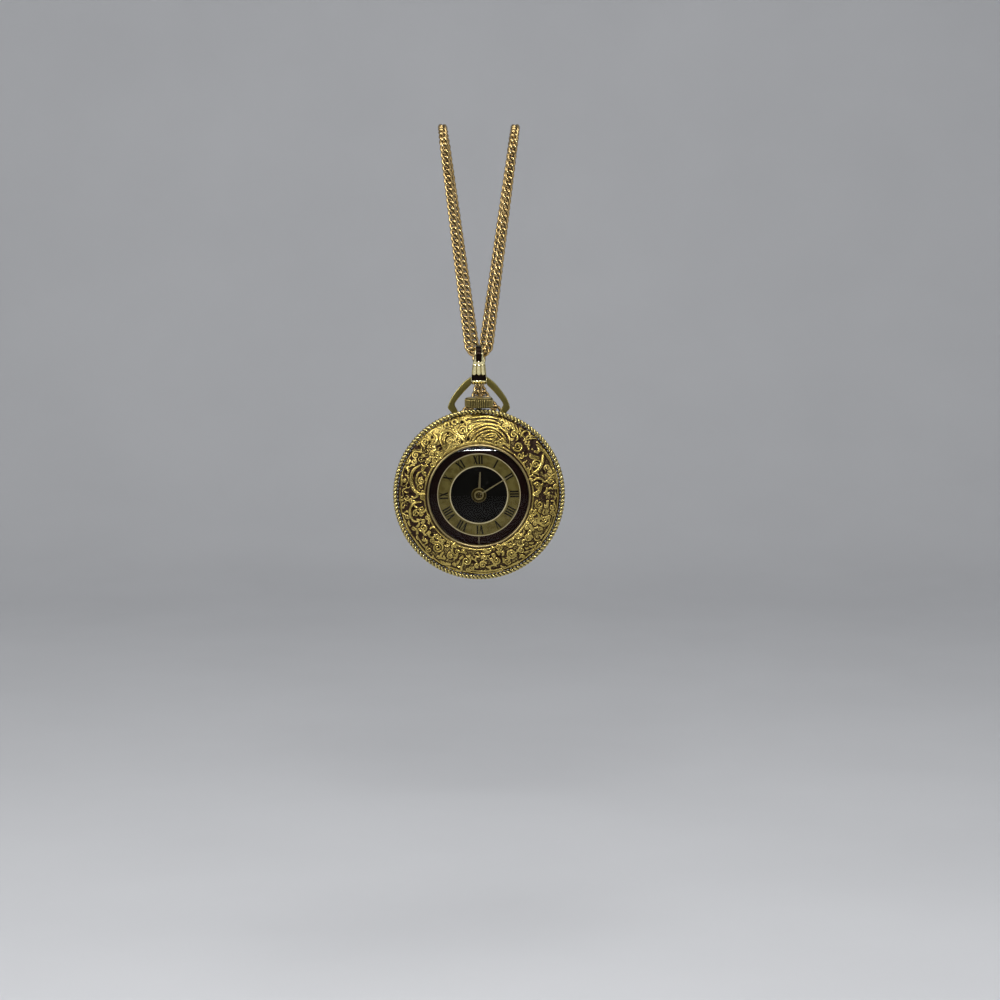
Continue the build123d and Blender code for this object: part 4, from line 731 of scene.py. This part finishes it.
for line_reach, half in ((chapter_inner, 0.1), (chapter_outer, 0.065)):
    lines = printed.step(abs(reach - line_reach), half, half + print_edge, 1.0, 0.0) + lines
six = printed.step(abs(across), 0.05, 0.08, 1.0, 0.0) * printed.step(up, -9.3, -9.2, 1.0, 0.0)
dial_material = printed.shade(
    printed.blend(lines + 0.5 * six, base, tone(216, 206, 170)),
    0.3 + 0.06 * speckle,
    printed.bump(cloud, 0.002),
    Metallic=0.55 * in_ring,
    Specular_IOR_Level=0.15,
)
dress(dial_material, "dial")

# Numerals: Roman hours printed in black, standing on the ring with their feet inwards. The
# print is thin but can be felt, so each stroke is a low raised plate.
numeral_foot = 6.8
numeral_height = 1.95
dial_top = 5.5
print_turn = 1.5
print_sunk, print_raised = 0.01, 0.025
numerals = ("XII", "I", "II", "III", "IIII", "V", "VI", "VII", "VIII", "IX", "X", "XI")
advance = {"I": 0.56, "V": 1.08, "X": 1.12}
strokes = {
    "I": [(0.0, 0.0, 0.0, 1.0, 0.35), (0.0, 0.0, 0.0, 0.05, 0.54), (0.0, 0.95, 0.0, 1.0, 0.54)],
    "V": [(-0.34, 1.0, 0.02, 0.0, 0.38), (0.36, 1.0, 0.04, 0.0, 0.17), (-0.34, 0.95, -0.34, 1.0, 0.54)],
    "X": [(-0.34, 1.0, 0.34, 0.0, 0.38), (0.34, 1.0, -0.34, 0.0, 0.17), (0.34, 0.0, 0.34, 0.05, 0.5)],
}
bars = []
for hour, numeral in enumerate(numerals):
    outward = math.radians(90 + print_turn - 30 * hour)
    upright = np.array([[math.sin(outward), -math.cos(outward)], [math.cos(outward), math.sin(outward)]])
    at = -sum(advance[letter] for letter in numeral) / 2
    for letter in numeral:
        at += advance[letter] / 2
        for x0, y0, x1, y1, width in strokes[letter]:
            low, high = numeral_foot + numeral_height * y0, numeral_foot + numeral_height * y1
            left, right = at - width / 2, at + width / 2
            corners = [(left + x0, low), (right + x0, low), (right + x1, high), (left + x1, high)]
            bars.append(np.array(corners) @ upright)
        at += advance[letter] / 2
bars = np.array(bars)
lower = in_case(bars[..., 0], bars[..., 1], dial_top - print_sunk)
upper = in_case(bars[..., 0], bars[..., 1], dial_top + print_raised)
sides = [(4, 5, 6, 7), (0, 3, 2, 1), (0, 1, 5, 4), (1, 2, 6, 5), (2, 3, 7, 6), (3, 0, 4, 7)]


def loose_pieces(name, points, quads):
    """A mesh of many closed pieces with the same quads, each with its faces turned outwards."""
    quads = (np.arange(len(points))[:, None, None] * points.shape[1] + np.array(quads)).reshape(-1, 4)
    mesh = bpy.data.meshes.new(name)
    mesh.from_pydata((points.reshape(-1, 3) * 0.001).tolist(), [], quads.tolist())
    working = bmesh.new()
    working.from_mesh(mesh)
    bmesh.ops.recalc_face_normals(working, faces=working.faces)
    working.to_mesh(mesh)
    working.free()
    return linked(name, mesh)


hour_numerals = loose_pieces("hour_numerals", np.concatenate([lower, upper], axis=1), sides)
ink_material = even_finish(
    "numeral_ink",
    tone(8, 7, 6),
    tone(18, 16, 13),
    grain=(0.2, 3),
    rough=(0.42, 0.16),
    depth=0.004,
    Specular_IOR_Level=0.2,
)
fit(hour_numerals, ink_material, "case", "dial")

# Hands: stamped blades, crowned along the middle, on turned bosses pressed onto the hour wheel
# and the cannon pinion. They are pale grey gold, and the bosses are dark olive between rings.


def flattened(wave, power):
    """A wave that keeps its sign, with its size raised to a power: below one, it flattens."""
    return np.sign(wave) * np.abs(wave) ** power


def capped(points):
    """Rows of points with each end row drawn together to its middle, so that the ends close."""
    ends = points.mean(axis=1, keepdims=True)[[0, -1]] + 0 * points[[0, -1]]
    return np.concatenate([ends[:1], points, ends[1:]])


def blade(length, root, tip, turn, bottom, thickness):
    """A hand's blade: its half width falls from root to tip and rounds off at the end, and its
    top is a low arc across the width."""
    along = np.linspace(0, 1, 26)[:, None]
    half = (root + (tip - root) * along) / 2
    half = half * np.sqrt(np.clip(1 - (np.clip(along - 0.94, 0, 1) / 0.06) ** 2, 0, 1)) + 1e-4
    around = circle(16)
    rise = np.clip(np.sin(around), 0, None) ** 0.8 * thickness
    x = along * length
    y = half * flattened(np.cos(around), 0.8)
    cosine, sine = math.cos(math.radians(turn)), math.sin(math.radians(turn))
    height = bottom + rise * (half / half.max()) ** 0.5
    return capped(in_case(x * cosine - y * sine, x * sine + y * cosine, height))


hour_blade = surface("hour_blade", blade(5.2, 0.62, 0.3, 87, 5.9, 0.15), False, True, 60)
minute_blade = surface("minute_blade", blade(8.7, 0.36, 0.16, 32, 6.4, 0.15), False, True, 60)
hour_section = [(0.45, 5.88), (1.65, 5.88), (1.65, 6.0), (1.55, 6.1), (1.2, 6.06), (0.45, 6.06)]
hour_boss = turned("hour_boss", eased(hour_section, 0.04), 96, 50)
minute_section = [
    (0.0, 6.38), (1.0, 6.38), (1.03, 6.52), (0.92, 6.62), (0.74, 6.6),
    (0.66, 6.5), (0.42, 6.5), (0.34, 6.62), (0.0, 6.66),
]
minute_boss = turned("minute_boss", eased(minute_section, 0.05, closed=False), 96, 50)
hand_material = even_finish(
    "hand_gilt",
    tone(158, 150, 120),
    tone(134, 125, 96),
    grain=(1.2, 3),
    rough=(0.28, 0.1),
    depth=0.004,
    relief=(0.15, 3),
    Metallic=1.0,
)
boss = Finish("hand_boss")
across, _, up = boss.parts()
reach = (across * across + up * up) ** 0.5
ringed = boss.step(reach, 0.7, 0.78) * boss.step(reach, 1.02, 1.08, 1.0, 0.0)
rim = boss.step(reach, 1.45, 1.52)
boss_material = boss.shade(
    boss.blend(ringed + 0.5 * rim, tone(68, 60, 34), tone(152, 140, 98)),
    0.3 + 0.1 * boss.noise(0.5, 3),
    boss.bump(boss.noise(0.12, 3), 0.004),
    Metallic=1.0,
)
fit(hour_blade, hand_material, "hour_hand", "pale_gold", "hour_hand")
fit(hour_boss, boss_material, "hour_hand", "pale_gold")
fit(minute_blade, hand_material, "minute_hand", "pale_gold", "minute_hand")
fit(minute_boss, boss_material, "minute_hand", "pale_gold")

# Crown: a turned knob fluted round its side, screwed to the end of the stem. Its gilding has
# gone a little pink and olive, and its flutes are painted dark as painted shade.
crown_flutes = 44
flute_depth = 0.22
flute_start = 2.55
crown_side = [
    (0.0, 19.1), (2.75, 19.1), (3.15, 19.35), (3.15, 20.95), (2.8, 21.3), (1.5, 21.52), (0.0, 21.6),
]
profile = eased(crown_side, 0.3, 5, False)
share = np.clip((profile[:, 0] - flute_start) / 0.5, 0, 1)
angle = circle(crown_flutes * 8)[:, None]
flute = np.abs(np.cos(crown_flutes * angle / 2)) ** 1.3
reach = profile[:, 0] - flute_depth * (1 - flute) * share
points = spread(reach * np.cos(angle), reach * np.sin(angle), case_rise + profile[:, 1])
crown = surface("crown_knob", points, True, False, 70)
rose = Finish("crown_gilt")
across, deep, up = rose.parts()
reach = (across * across + deep * deep) ** 0.5
# Painted shade: the flutes below the top are painted dark between the lit ridges, varied by a mottle.
flute_shade = rose.step(reach, 2.98, 3.13, 1.0, 0.0) * rose.step(up, 21.15, 21.3, 1.0, 0.0)
crown_mottle = rose.noise(0.6, 4)
crown_material = rose.shade(
    rose.blend(flute_shade * (0.75 + 0.4 * crown_mottle), tone(178, 160, 100), tone(18, 12, 6)),
    0.24 + 0.14 * crown_mottle,
    rose.bump(crown_mottle, 0.01),
    Metallic=1.0,
)
fit(crown, crown_material, "crown", "pale_gold", "crown")

# Bow: a flat triangular hoop in olive gold, bent round a short bar at the top and closed by two
# pins that turn in the ears of the case. Its edges are rounded and carry a painted highlight.
outer_line = flowing(
    [
        (5.7, 16.5), (6.05, 17.9), (6.6, 18.62), (6.88, 19.05), (6.78, 19.6),
        (6.4, 20.6), (5.9, 21.55), (4.75, 23.15), (3.4, 24.7), (1.75, 26.0),
    ]
)
inner_line = flowing(
    [
        (4.6, 16.5), (4.6, 17.5), (4.7, 18.45), (5.3, 19.75),
        (4.7, 20.9), (3.85, 21.95), (3.0, 22.9), (1.75, 24.15),
    ]
)


def run_of(line):
    """How far each point of a line lies along it from the start."""
    return np.concatenate([[0], np.cumsum(np.linalg.norm(np.diff(line, axis=0), axis=1))])


def points_at(line, distance):
    """Points of a line at distances from its start."""
    run = run_of(line)
    return np.stack([np.interp(distance, run, part) for part in line.T], axis=-1)


def spaced(line, count):
    """Points at even distances along a line."""
    return points_at(line, np.linspace(0, run_of(line)[-1], count))


def squared(count, power):
    """A section between a circle and a square: cosine and sine raised to a power below one."""
    return flattened(np.cos(circle(count)), power), flattened(np.sin(circle(count)), power)


half_thickness = 0.6
outer_line, inner_line = spaced(outer_line, 70), spaced(inner_line, 70)
side, front = squared(36, 0.36)
middle = (outer_line + inner_line) / 2
half = (outer_line - inner_line) / 2
legs = []
for mirror, name in ((1, "bow_leg_right"), (-1, "bow_leg_left")):
    plane = middle[:, None, :] + half[:, None, :] * side[None, :, None]
    points = spread(mirror * plane[..., 0], half_thickness * front, case_rise + plane[..., 1])
    # Each leg carries a share of 1 on its flat faces and 0 on its rounded edges, where the painted highlight
    # goes.
    legs.append(surface(name, capped(points), False, True, 50, (np.abs(side) < 0.8)[None, :]))


def rod(name, start, end, rise, section):
    """A bar along x: a section of shares of its length and radii, turned round its axis."""
    share, reach = np.array(section).T
    around = circle(40)[:, None]
    along = start + (end - start) * share
    points = spread(along, reach * np.cos(around), case_rise + rise + reach * np.sin(around))
    return surface(name, points, True, False, 50)


bar_section = [(0, 0), (0, 0.55), (0.5, 0.52), (1, 0.55), (1, 0)]
pin_section = [(0, 0), (0, 0.3), (0.08, 0.4), (1, 0.4), (1, 0)]
bars = [
    rod("bow_bar", -1.95, 1.95, 25.2, bar_section),
    rod("bow_pin_right", 3.35, 4.8, 17.1, pin_section),
    rod("bow_pin_left", -3.35, -4.8, 17.1, pin_section),
]
olive = Finish("olive_gold")
flats = olive.toning_and_painted_shade()
drift = olive.noise(3.0, 3)
hairs = olive.noise(0.3, 4, olive.place((1.0, 1.0, 0.25)))
# Painted highlight: the rounded edges are painted lighter than the flat faces.
highlighted_edges = olive.step(flats + 0.3 * (drift - 0.5), 0.1, 0.5, 1.0, 0.0)
dull = olive.blend(drift, tone(112, 103, 58), tone(84, 77, 43))
bow_material = olive.shade(
    olive.blend(highlighted_edges, dull, tone(194, 182, 122)),
    0.34 + 0.12 * hairs - 0.14 * highlighted_edges,
    olive.bump(hairs, 0.006),
    Metallic=1.0,
)
fit(legs[0], bow_material, "bow", "pale_gold", "bow")
for piece in legs[1:] + bars:
    fit(piece, bow_material, "bow", "pale_gold")

# Bail: a polished strip of pale gold folded into a loop round the bow's bar and the chain. It
# widens downwards, and its front ends in three rounded ribs above the fold.
bail_wall = 0.45
eye_reach, eye_rise = 1.55, 30.8
foot_reach, foot_rise = 0.85, 25.45
lean = math.asin((eye_reach - foot_reach) / (eye_rise - foot_rise))
sweep = np.linspace(math.pi + lean, -lean, 60)
upper = np.array([0, eye_rise]) + (eye_reach + bail_wall / 2) * pointing(sweep)
sweep = np.linspace(-lean, lean - math.pi, 50)
lower = np.array([0, foot_rise]) + (foot_reach + bail_wall / 2) * pointing(sweep)
loop = np.vstack([upper, np.linspace(upper[-1], lower[0], 40)[1:-1], lower])
loop = np.vstack([loop, np.linspace(lower[-1], upper[0], 130)[1:-1]])
rise = loop[:, 1:]
half_width = np.interp(rise, [25.4, 26.3, 29.3, 30.6, 31.6], [1.72, 1.62, 1.3, 0.92, 0.82])
over_width = np.sin(np.linspace(-np.pi / 2, np.pi / 2, 61))
crest = np.sqrt(1 - np.abs(over_width) ** 6)
side = np.concatenate([over_width, over_width[-2:0:-1]])
front = np.concatenate([crest, -crest[-2:0:-1]])
x = half_width * side
outer = (front > 0) & (loop[:, :1] < 0.1)
ribs = np.zeros_like(x)
past = np.clip(26.85 - rise, 0, None) / 0.5 + np.clip(rise - 28.3, 0, None) / 0.7
for rib_place in (-0.64, 0.0, 0.64):
    ball = np.clip(1 - ((side - rib_place) / 0.3) ** 2 - past**2, 0, None)
    ribs = np.maximum(ribs, np.sqrt(ball))
panel = np.clip((rise - 25.1) / 0.1, 0, 1) * np.clip((28.9 - rise) / 0.3, 0, 1)
panel = panel * np.clip((0.96 - np.abs(side)) / 0.04, 0, 1)
scallop = 29.15 + 0.22 * np.abs(np.cos(x * 4.9))
strip = np.clip((rise - scallop) / 0.08, 0, 1) * np.clip((0.66 - np.abs(x)) / 0.06, 0, 1)
leaves = np.abs(np.sin(5.2 * (x + 0.5 * (rise - 24.6)))) * np.clip((25.0 - rise) / 0.2, 0, 1)
carved = 0.26 * ribs * panel - 0.14 * panel - 0.12 * strip - 0.1 * leaves


def heading_of(line):
    """At each point of a closed line, the direction from its last neighbour to its next."""
    return unit(np.roll(line, -1, axis=0) - np.roll(line, 1, axis=0))


def banded(line, x, depth):
    """Points of a band that follows a closed line of depths and rises: x is across the band, and
    each point lies a depth beside the line."""
    ahead = heading_of(line)
    beside = np.stack([-ahead[:, 1], ahead[:, 0]], axis=-1)
    at = line[:, None] + beside[:, None] * depth[..., None]
    return spread(x, at[..., 0], case_rise + at[..., 1])


points = banded(loop, x, bail_wall / 2 * front + carved * outer)
# Painted shade and painted dark reflection: the top strip, the panel round and below the ribs, and the
# grooves between the leaf marks on the fold are painted dark.
toning_and_painted_shade = outer * np.clip(strip + panel * (1 - ribs / 0.45) + 0.7 * leaves, 0, 1)
bail = surface("bail_strip", points, True, True, 60, toning_and_painted_shade)
folded = Finish("bail_gold")
painted_shade_and_toning = folded.toning_and_painted_shade()
hairs = folded.noise(0.3, 3, folded.place((1.0, 1.0, 0.2)))
# The painted shade and dark reflection take the strip's colour to near black.
painted_dark = folded.step(painted_shade_and_toning + 0.25 * (hairs - 0.5), 0.3, 0.7)
bail_material = folded.shade(
    folded.blend(painted_dark, tone(232, 220, 166), tone(24, 15, 9)),
    0.12 + 0.06 * hairs + 0.16 * painted_dark,
    folded.bump(hairs, 0.003),
    Metallic=1 - 0.1 * painted_dark,
)
fit(bail, bail_material, "bail", "pale_gold", "bail")

# Chain: a fine curb chain, 590 mm long, of soldered wire links that are each twisted a quarter
# turn so that they lie flat. It runs through the bail and over the support. Behind the watch
# the spare length is coiled: two turns in, half a turn on which it crosses a layer, and out.
wire = 0.36
link_pitch = 1.4
link_half = 1.06
link_side = 0.68
support = 14.0
layer = 2.98
coil_reach = 14.0
last_reach = coil_reach + layer / 4
slant = math.sqrt(0.5)


def on_slant(reach, depth, distance):
    """A point on the stretch that leaves the coil going up at 45 degrees; on the left with a
    minus reach."""
    across = (abs(reach) - distance) * slant
    return (math.copysign(across, reach), depth, case_rise + (abs(reach) + distance) * slant)


far = support + layer
loop_rise = case_rise + eye_rise + eye_reach - 1.05 - 0.3
corners = [
    on_slant(last_reach, far, 8.6),
    (-0.6, far, case_rise + last_reach / slant + 0.6),
    (8.0, far, 0.0),
    (8.0, 0.0, 0.0),
    (2.05, 0.0, loop_rise),
    (-2.05, 0.0, loop_rise),
    (-8.0, 0.0, 0.0),
    (-8.0, support, 0.0),
    (0.6, support, case_rise + coil_reach / slant + 0.6),
    on_slant(-coil_reach, support, 2.1),
]
corners = np.array(corners, float)
route = [corners[0]]
for before, corner, after in zip(corners, corners[1:], corners[2:]):
    into, out = corner - before, after - corner
    long_into, long_out = np.linalg.norm(into), np.linalg.norm(out)
    bend_reach = 0.9 * min(long_into, long_out)
    if long_into > 2.2 * bend_reach:
        route.append(corner - unit(into) * bend_reach)
    route.append(corner)
    if long_out > 2.2 * bend_reach:
        route.append(corner + unit(out) * bend_reach)
route.append(corners[-1])
inner_turn = coil_reach - 2 * layer
coil_angles = [135, 855, 1035, 1755, 1845]
coil_reaches = [coil_reach, inner_turn, inner_turn, coil_reach, last_reach]
coil_step = 15
# The spline's reach as a share of its corners': the mean of midway and at a corner.
turn = math.radians(coil_step)
inside_corners = 0.5 * math.cos(turn / 2) + 0.375 + 0.125 * math.cos(turn)
azimuth = np.arange(coil_angles[0], coil_angles[-1], coil_step) + coil_step / 2
bearing = np.radians(azimuth)
reach = np.interp(azimuth, coil_angles, coil_reaches) / inside_corners
share = np.clip((azimuth - coil_angles[1]) / (coil_angles[2] - coil_angles[1]), 0, 1)
crossing = support + layer * (share - np.sin(2 * np.pi * share) / (2 * np.pi))
wound = spread(reach * np.cos(bearing), crossing, case_rise + reach * np.sin(bearing))
last = [on_slant(last_reach, far, distance) for distance in (0.2, 2.845)]
route = np.vstack([route, [on_slant(-coil_reach, support, 0.2)], wound, last])
curve = bpy.data.curves.new("chain_route", "CURVE")
curve.dimensions = "3D"
spline = curve.splines.new("NURBS")
spline.points.add(len(route) - 1)
spline.points.foreach_set("co", np.column_stack([route, np.ones(len(route))]).ravel())
spline.order_u = 3
spline.use_endpoint_u = True
spline.resolution_u = 12
drawn = linked("chain_route", curve)
bpy.context.view_layer.update()
followed = bpy.data.meshes.new_from_object(drawn.evaluated_get(bpy.context.evaluated_depsgraph_get()))
line = np.empty(len(followed.vertices) * 3, np.float32)
followed.vertices.foreach_get("co", line)
line = line.reshape(-1, 3).astype(float)
bpy.data.objects.remove(drawn)
bpy.data.meshes.remove(followed)
chain_length = run_of(line)[-1]
links = int(chain_length / link_pitch)
centre_at = (np.arange(links) + 0.5) * chain_length / links
middle = (points_at(line, centre_at - 0.5) + points_at(line, centre_at + 0.5)) / 2
ahead = unit(points_at(line, centre_at + 0.9) - points_at(line, centre_at - 0.9))
beyond = middle[:, 1] - np.clip(middle[:, 1], 6.4, 7.6 + 1.7 * (middle[:, 0] > 0))
away = spread(0, beyond, np.clip(middle[:, 2] + 7, 0, None))
away = unit(away - (away * ahead).sum(axis=1)[:, None] * ahead)
rows, columns = 12, 6
bend = circle(rows)
twisted = np.pi / 4 * np.cos(bend)
ring = spread(
    link_half * flattened(np.cos(bend), 0.85),
    link_side * np.sin(bend) * np.cos(twisted),
    link_side * np.sin(bend) * np.sin(twisted),
)
heading = heading_of(ring)
outside = unit(ring - (ring * heading).sum(axis=1)[:, None] * heading)
spoke = circle(columns)[:, None]
tube = np.cos(spoke) * outside[:, None] + np.sin(spoke) * np.cross(heading, outside)[:, None]
tube = (ring[:, None] + wire * tube).reshape(-1, 3)
points = middle[:, None] + tube @ np.stack([ahead, np.cross(ahead, away), away], axis=1)
chain = loose_pieces("chain_links", points, quads_over(rows, columns, True, True))
chain.data.shade_smooth()
# Painted shade: the inner side of each link's wire is painted dark, so that the gaps between links look
# shaded.
painted_gap_shade = np.clip(-np.cos(spoke.ravel()), 0, 1)
carry_toning_and_painted_shade(chain.data, np.tile(painted_gap_shade, links * rows))
rosy = Finish("chain_gold")
painted_shade_and_toning = rosy.toning_and_painted_shade()
drift = rosy.noise(2.0, 3)
# The links' painted shade, varied by a slow drift, takes their colour to near black.
toned_and_shaded = rosy.step(painted_shade_and_toning + 0.3 * (drift - 0.5), 0.06, 0.6)
bright = rosy.blend(drift, tone(214, 184, 128), tone(182, 154, 100))
chain_material = rosy.shade(
    rosy.blend(toned_and_shaded, bright, tone(30, 19, 11)),
    0.16 + 0.08 * drift + 0.2 * toned_and_shaded,
    rosy.bump(rosy.noise(0.3, 3), 0.004),
    Metallic=1 - 0.15 * toned_and_shaded,
)
fit(chain, chain_material, "chain", "chain_gold", "chain", "chain_coil")

# Clasp, end ring and tie: a sprung ring with a sliding knob, the plain ring that it hooks into,
# and a soft band round the coil that keeps the spare chain together.


def hoop(name, centre, first, second, reach, wire):
    """A ring: a circle in the plane of two directions, with a round wire carried along it."""
    angle = circle(64)[:, None, None]
    around = circle(20)[:, None]
    spoke = np.cos(angle) * np.array(first) + np.sin(angle) * np.array(second)
    third = np.cross(first, second)
    points = centre + spoke * (reach + wire * np.cos(around)) + third * wire * np.sin(around)
    return surface(name, points, True, True, 60)


coil_end = layer / 4 + 2.1
ring_place = coil_end - 0.15 + 1.35
clasp_place = ring_place + 2.0
up_slant = (-slant, 0, slant)
end_ring = hoop("end_link", on_slant(last_reach, far, ring_place), (1, 0, 0), (0, 0, 1), 1.05, 0.3)
clasp_middle = np.array(on_slant(last_reach, far, clasp_place))
clasp = hoop("clasp_ring", clasp_middle, up_slant, (0, 1, 0), 2.0, 0.6)
knob_section = np.array(
    [(0, 0), (0, 0.32), (0.12, 0.5), (0.5, 0.5), (0.62, 0.42), (0.9, 0.5), (1, 0.36), (1, 0)]
)
around = circle(28)[:, None, None]
across_ring = np.cross(up_slant, (0, 1, 0))
knob_points = (
    clasp_middle
    + np.array((0, 1, 0)) * (1.95 + 1.3 * knob_section[:, :1])
    + knob_section[:, 1:] * (np.cos(around) * np.array(up_slant) + np.sin(around) * across_ring)
)
knob = surface("clasp_knob", knob_points, True, False, 50)
fit(clasp, chain_material, "chain", "chain_gold", "clasp")
fit(knob, chain_material, "chain", "chain_gold")
fit(end_ring, chain_material, "chain", "chain_gold", "end_ring")
tie_corners = eased([(12.4, -16.1), (18.6, -16.1), (18.6, -5.9), (12.4, -5.9)], 1.4, 6)
tie_line = spaced(np.vstack([tie_corners, tie_corners[:1]]), 97)[:-1]
tie_half_width, tie_half_thickness = 0.95, 0.22
side, front = squared(24, 0.4)
points = banded(tie_line, tie_half_width * side, -tie_half_thickness * front[None, :])
tie = surface("coil_band", points, True, True, 60)
cloth = Finish("soft_band")
weave = cloth.noise(0.25, 3, cloth.place((1.0, 0.4, 0.4)))
tie_material = cloth.shade(
    cloth.blend(weave, tone(196, 190, 178), tone(158, 150, 138)),
    0.7 + 0.15 * weave,
    cloth.bump(weave, 0.03),
)
fit(tie, tie_material, "chain", "gasket", "coil_tie")

# Movement: gilt brass plates and bridges with a fine grain, polished brass wheels, ground steel
# winding parts and ruby bearings, all held in a moulded ring inside the band.
plate_material = even_finish(
    "grained_brass",
    tone(222, 190, 116),
    tone(204, 172, 100),
    drift=(3.0, 2),
    grain=(0.25, 4),
    rough=(0.3, 0.14),
    depth=0.008,
    brush=(1.0, 1.0, 0.2),
    Metallic=1.0,
)
dress(plate_material, "main_plate", "barrel_bridge", "train_bridge", "pallet_bridge", "balance_cock")
wheel_material = gold_finish("wheel_brass", tone(226, 192, 104), tone(210, 174, 90), 0.18)
dress(wheel_material, "barrel", "barrel_lid", "centre_wheel", "third_wheel", "fourth_wheel")
dress(wheel_material, "minute_wheel", "hour_wheel", "balance_wheel")
steel_material = even_finish(
    "ground_steel",
    tone(188, 190, 194),
    tone(166, 168, 173),
    drift=(2.0, 2),
    grain=(0.3, 4),
    rough=(0.2, 0.14),
    depth=0.006,
    brush=(1.0, 1.0, 0.15),
    Metallic=1.0,
)
dress(steel_material, "case_screws", "bridge_screws", "barrel_arbor", "ratchet_wheel", "click")
dress(steel_material, "crown_wheel", "escape_wheel", "pallet_fork", "cannon_pinion")
dress(steel_material, "stem", "setting_lever", "clutch", "winding_pinion")
blue_material = even_finish(
    "spring_steel",
    tone(70, 84, 120),
    tone(52, 60, 92),
    grain=(0.8, 3),
    rough=(0.22, 0.12),
    depth=0.003,
    Metallic=1.0,
)
dress(blue_material, "mainspring", "hairspring")
ruby = Finish("ruby")
fleck = ruby.noise(0.4, 3)
ruby_material = ruby.shade(
    ruby.blend(fleck, tone(170, 18, 58), tone(128, 10, 42)),
    0.06 + 0.06 * fleck,
    Coat_Weight=0.4 + 0.3 * fleck,
)
dress(ruby_material, "jewels")
nylon_material = even_finish(
    "moulded_ring",
    tone(214, 212, 204),
    tone(198, 195, 186),
    grain=(1.6, 3),
    rough=(0.45, 0.12),
    depth=0.01,
    relief=(0.3, 3),
)
dress(nylon_material, "movement_ring")

# Stage: a pale floor that rises into a wall far behind, soft lamps and a grey room. None of it
# belongs to the watch.
floor_rise, ceiling_rise = -190.0, 1400.0
front_edge, wall_start = -900.0, 500.0
sweep_reach = 300.0
room_reach = 1500.0
sweep = np.linspace(0.1, 1, 14) * np.pi / 2
flat = np.linspace(front_edge, wall_start, 8)
run_back = np.concatenate([flat, wall_start + sweep_reach * np.sin(sweep), [wall_start + sweep_reach]])
run_up = np.concatenate([0 * flat, sweep_reach * (1 - np.cos(sweep)), [ceiling_rise - floor_rise]])
width = np.linspace(-room_reach, room_reach, 3)[:, None]
points = spread(width, run_back[None, :], floor_rise + run_up[None, :])
floor = surface("floor", points)
card = Finish("pale_floor")
mottle = card.noise(60.0, 3)
card.shade(card.blend(mottle, tone(206, 207, 210), tone(198, 199, 202)), 0.8 + 0.1 * mottle)
floor.data.materials.append(card.owner)
lit_place = Vector((0, 0, -75))


def lamp(name, place, size, power):
    """A soft square lamp at a place that faces the watch."""
    light = bpy.data.lights.new(name, "AREA")
    light.shape = "RECTANGLE"
    light.size, light.size_y = size[0] * 0.001, size[1] * 0.001
    light.energy = power
    held = linked(name, light)
    held.location = Vector(place) * 0.001
    held.rotation_euler = (lit_place - Vector(place)).to_track_quat("-Z", "Y").to_euler()


lamp("window_left", (-540, -300, 230), (360, 360), 1.95)
lamp("ceiling", (60, -120, 420), (420, 260), 1.45)
lamp("side_right", (520, -200, 40), (160, 320), 0.4)
lamp("panel", (0, -478, 180), (340, 50), 0.32)
lamp("tube", (0, -487, 163), (224, 8), 1.05)
room = Finish("room", bpy.data.worlds.new("room"))
toward = room.node("ShaderNodeTexCoord", None, None, "Generated")
sideways, _, upwards = room.parts(toward)
mirrored = 0.045 + 0.38 * room.step(upwards, 0.15, 0.85) + 0.06 * room.step(sideways, -0.1, -0.8)
glossy = room.node("ShaderNodeLightPath", None, None, "Is Glossy Ray")
level = glossy * mirrored + (1 - glossy) * 0.27
light = room.node("ShaderNodeBackground", None, {"Color": (0.96, 0.98, 1.0, 1.0), "Strength": level})
room.node("ShaderNodeOutputWorld", None, {"Surface": light})
bpy.context.scene.world = room.owner

# Camera: square on to the watch and a little above it, as far off as a visitor's would be. Its
# frame is as wide as the photograph's.
view_distance = 560.0
view_width = 220.9
film_width = 36.0
camera = bpy.data.cameras.new("camera")
camera.sensor_width = film_width
camera.lens = film_width * view_distance / view_width
camera.clip_start = 0.01
camera.clip_end = 10.0
held = linked("camera", camera)
raised_by = math.radians(7.5)
aim = np.array([4.64, -1.0, -81.7])
seat = aim + view_distance * np.array([0.0, -math.cos(raised_by), math.sin(raised_by)])
held.location = seat * 0.001
held.rotation_euler = (math.pi / 2 - raised_by, 0.0, 0.0)
bpy.context.scene.camera = held
bpy.context.scene.view_settings.view_transform = "Standard"
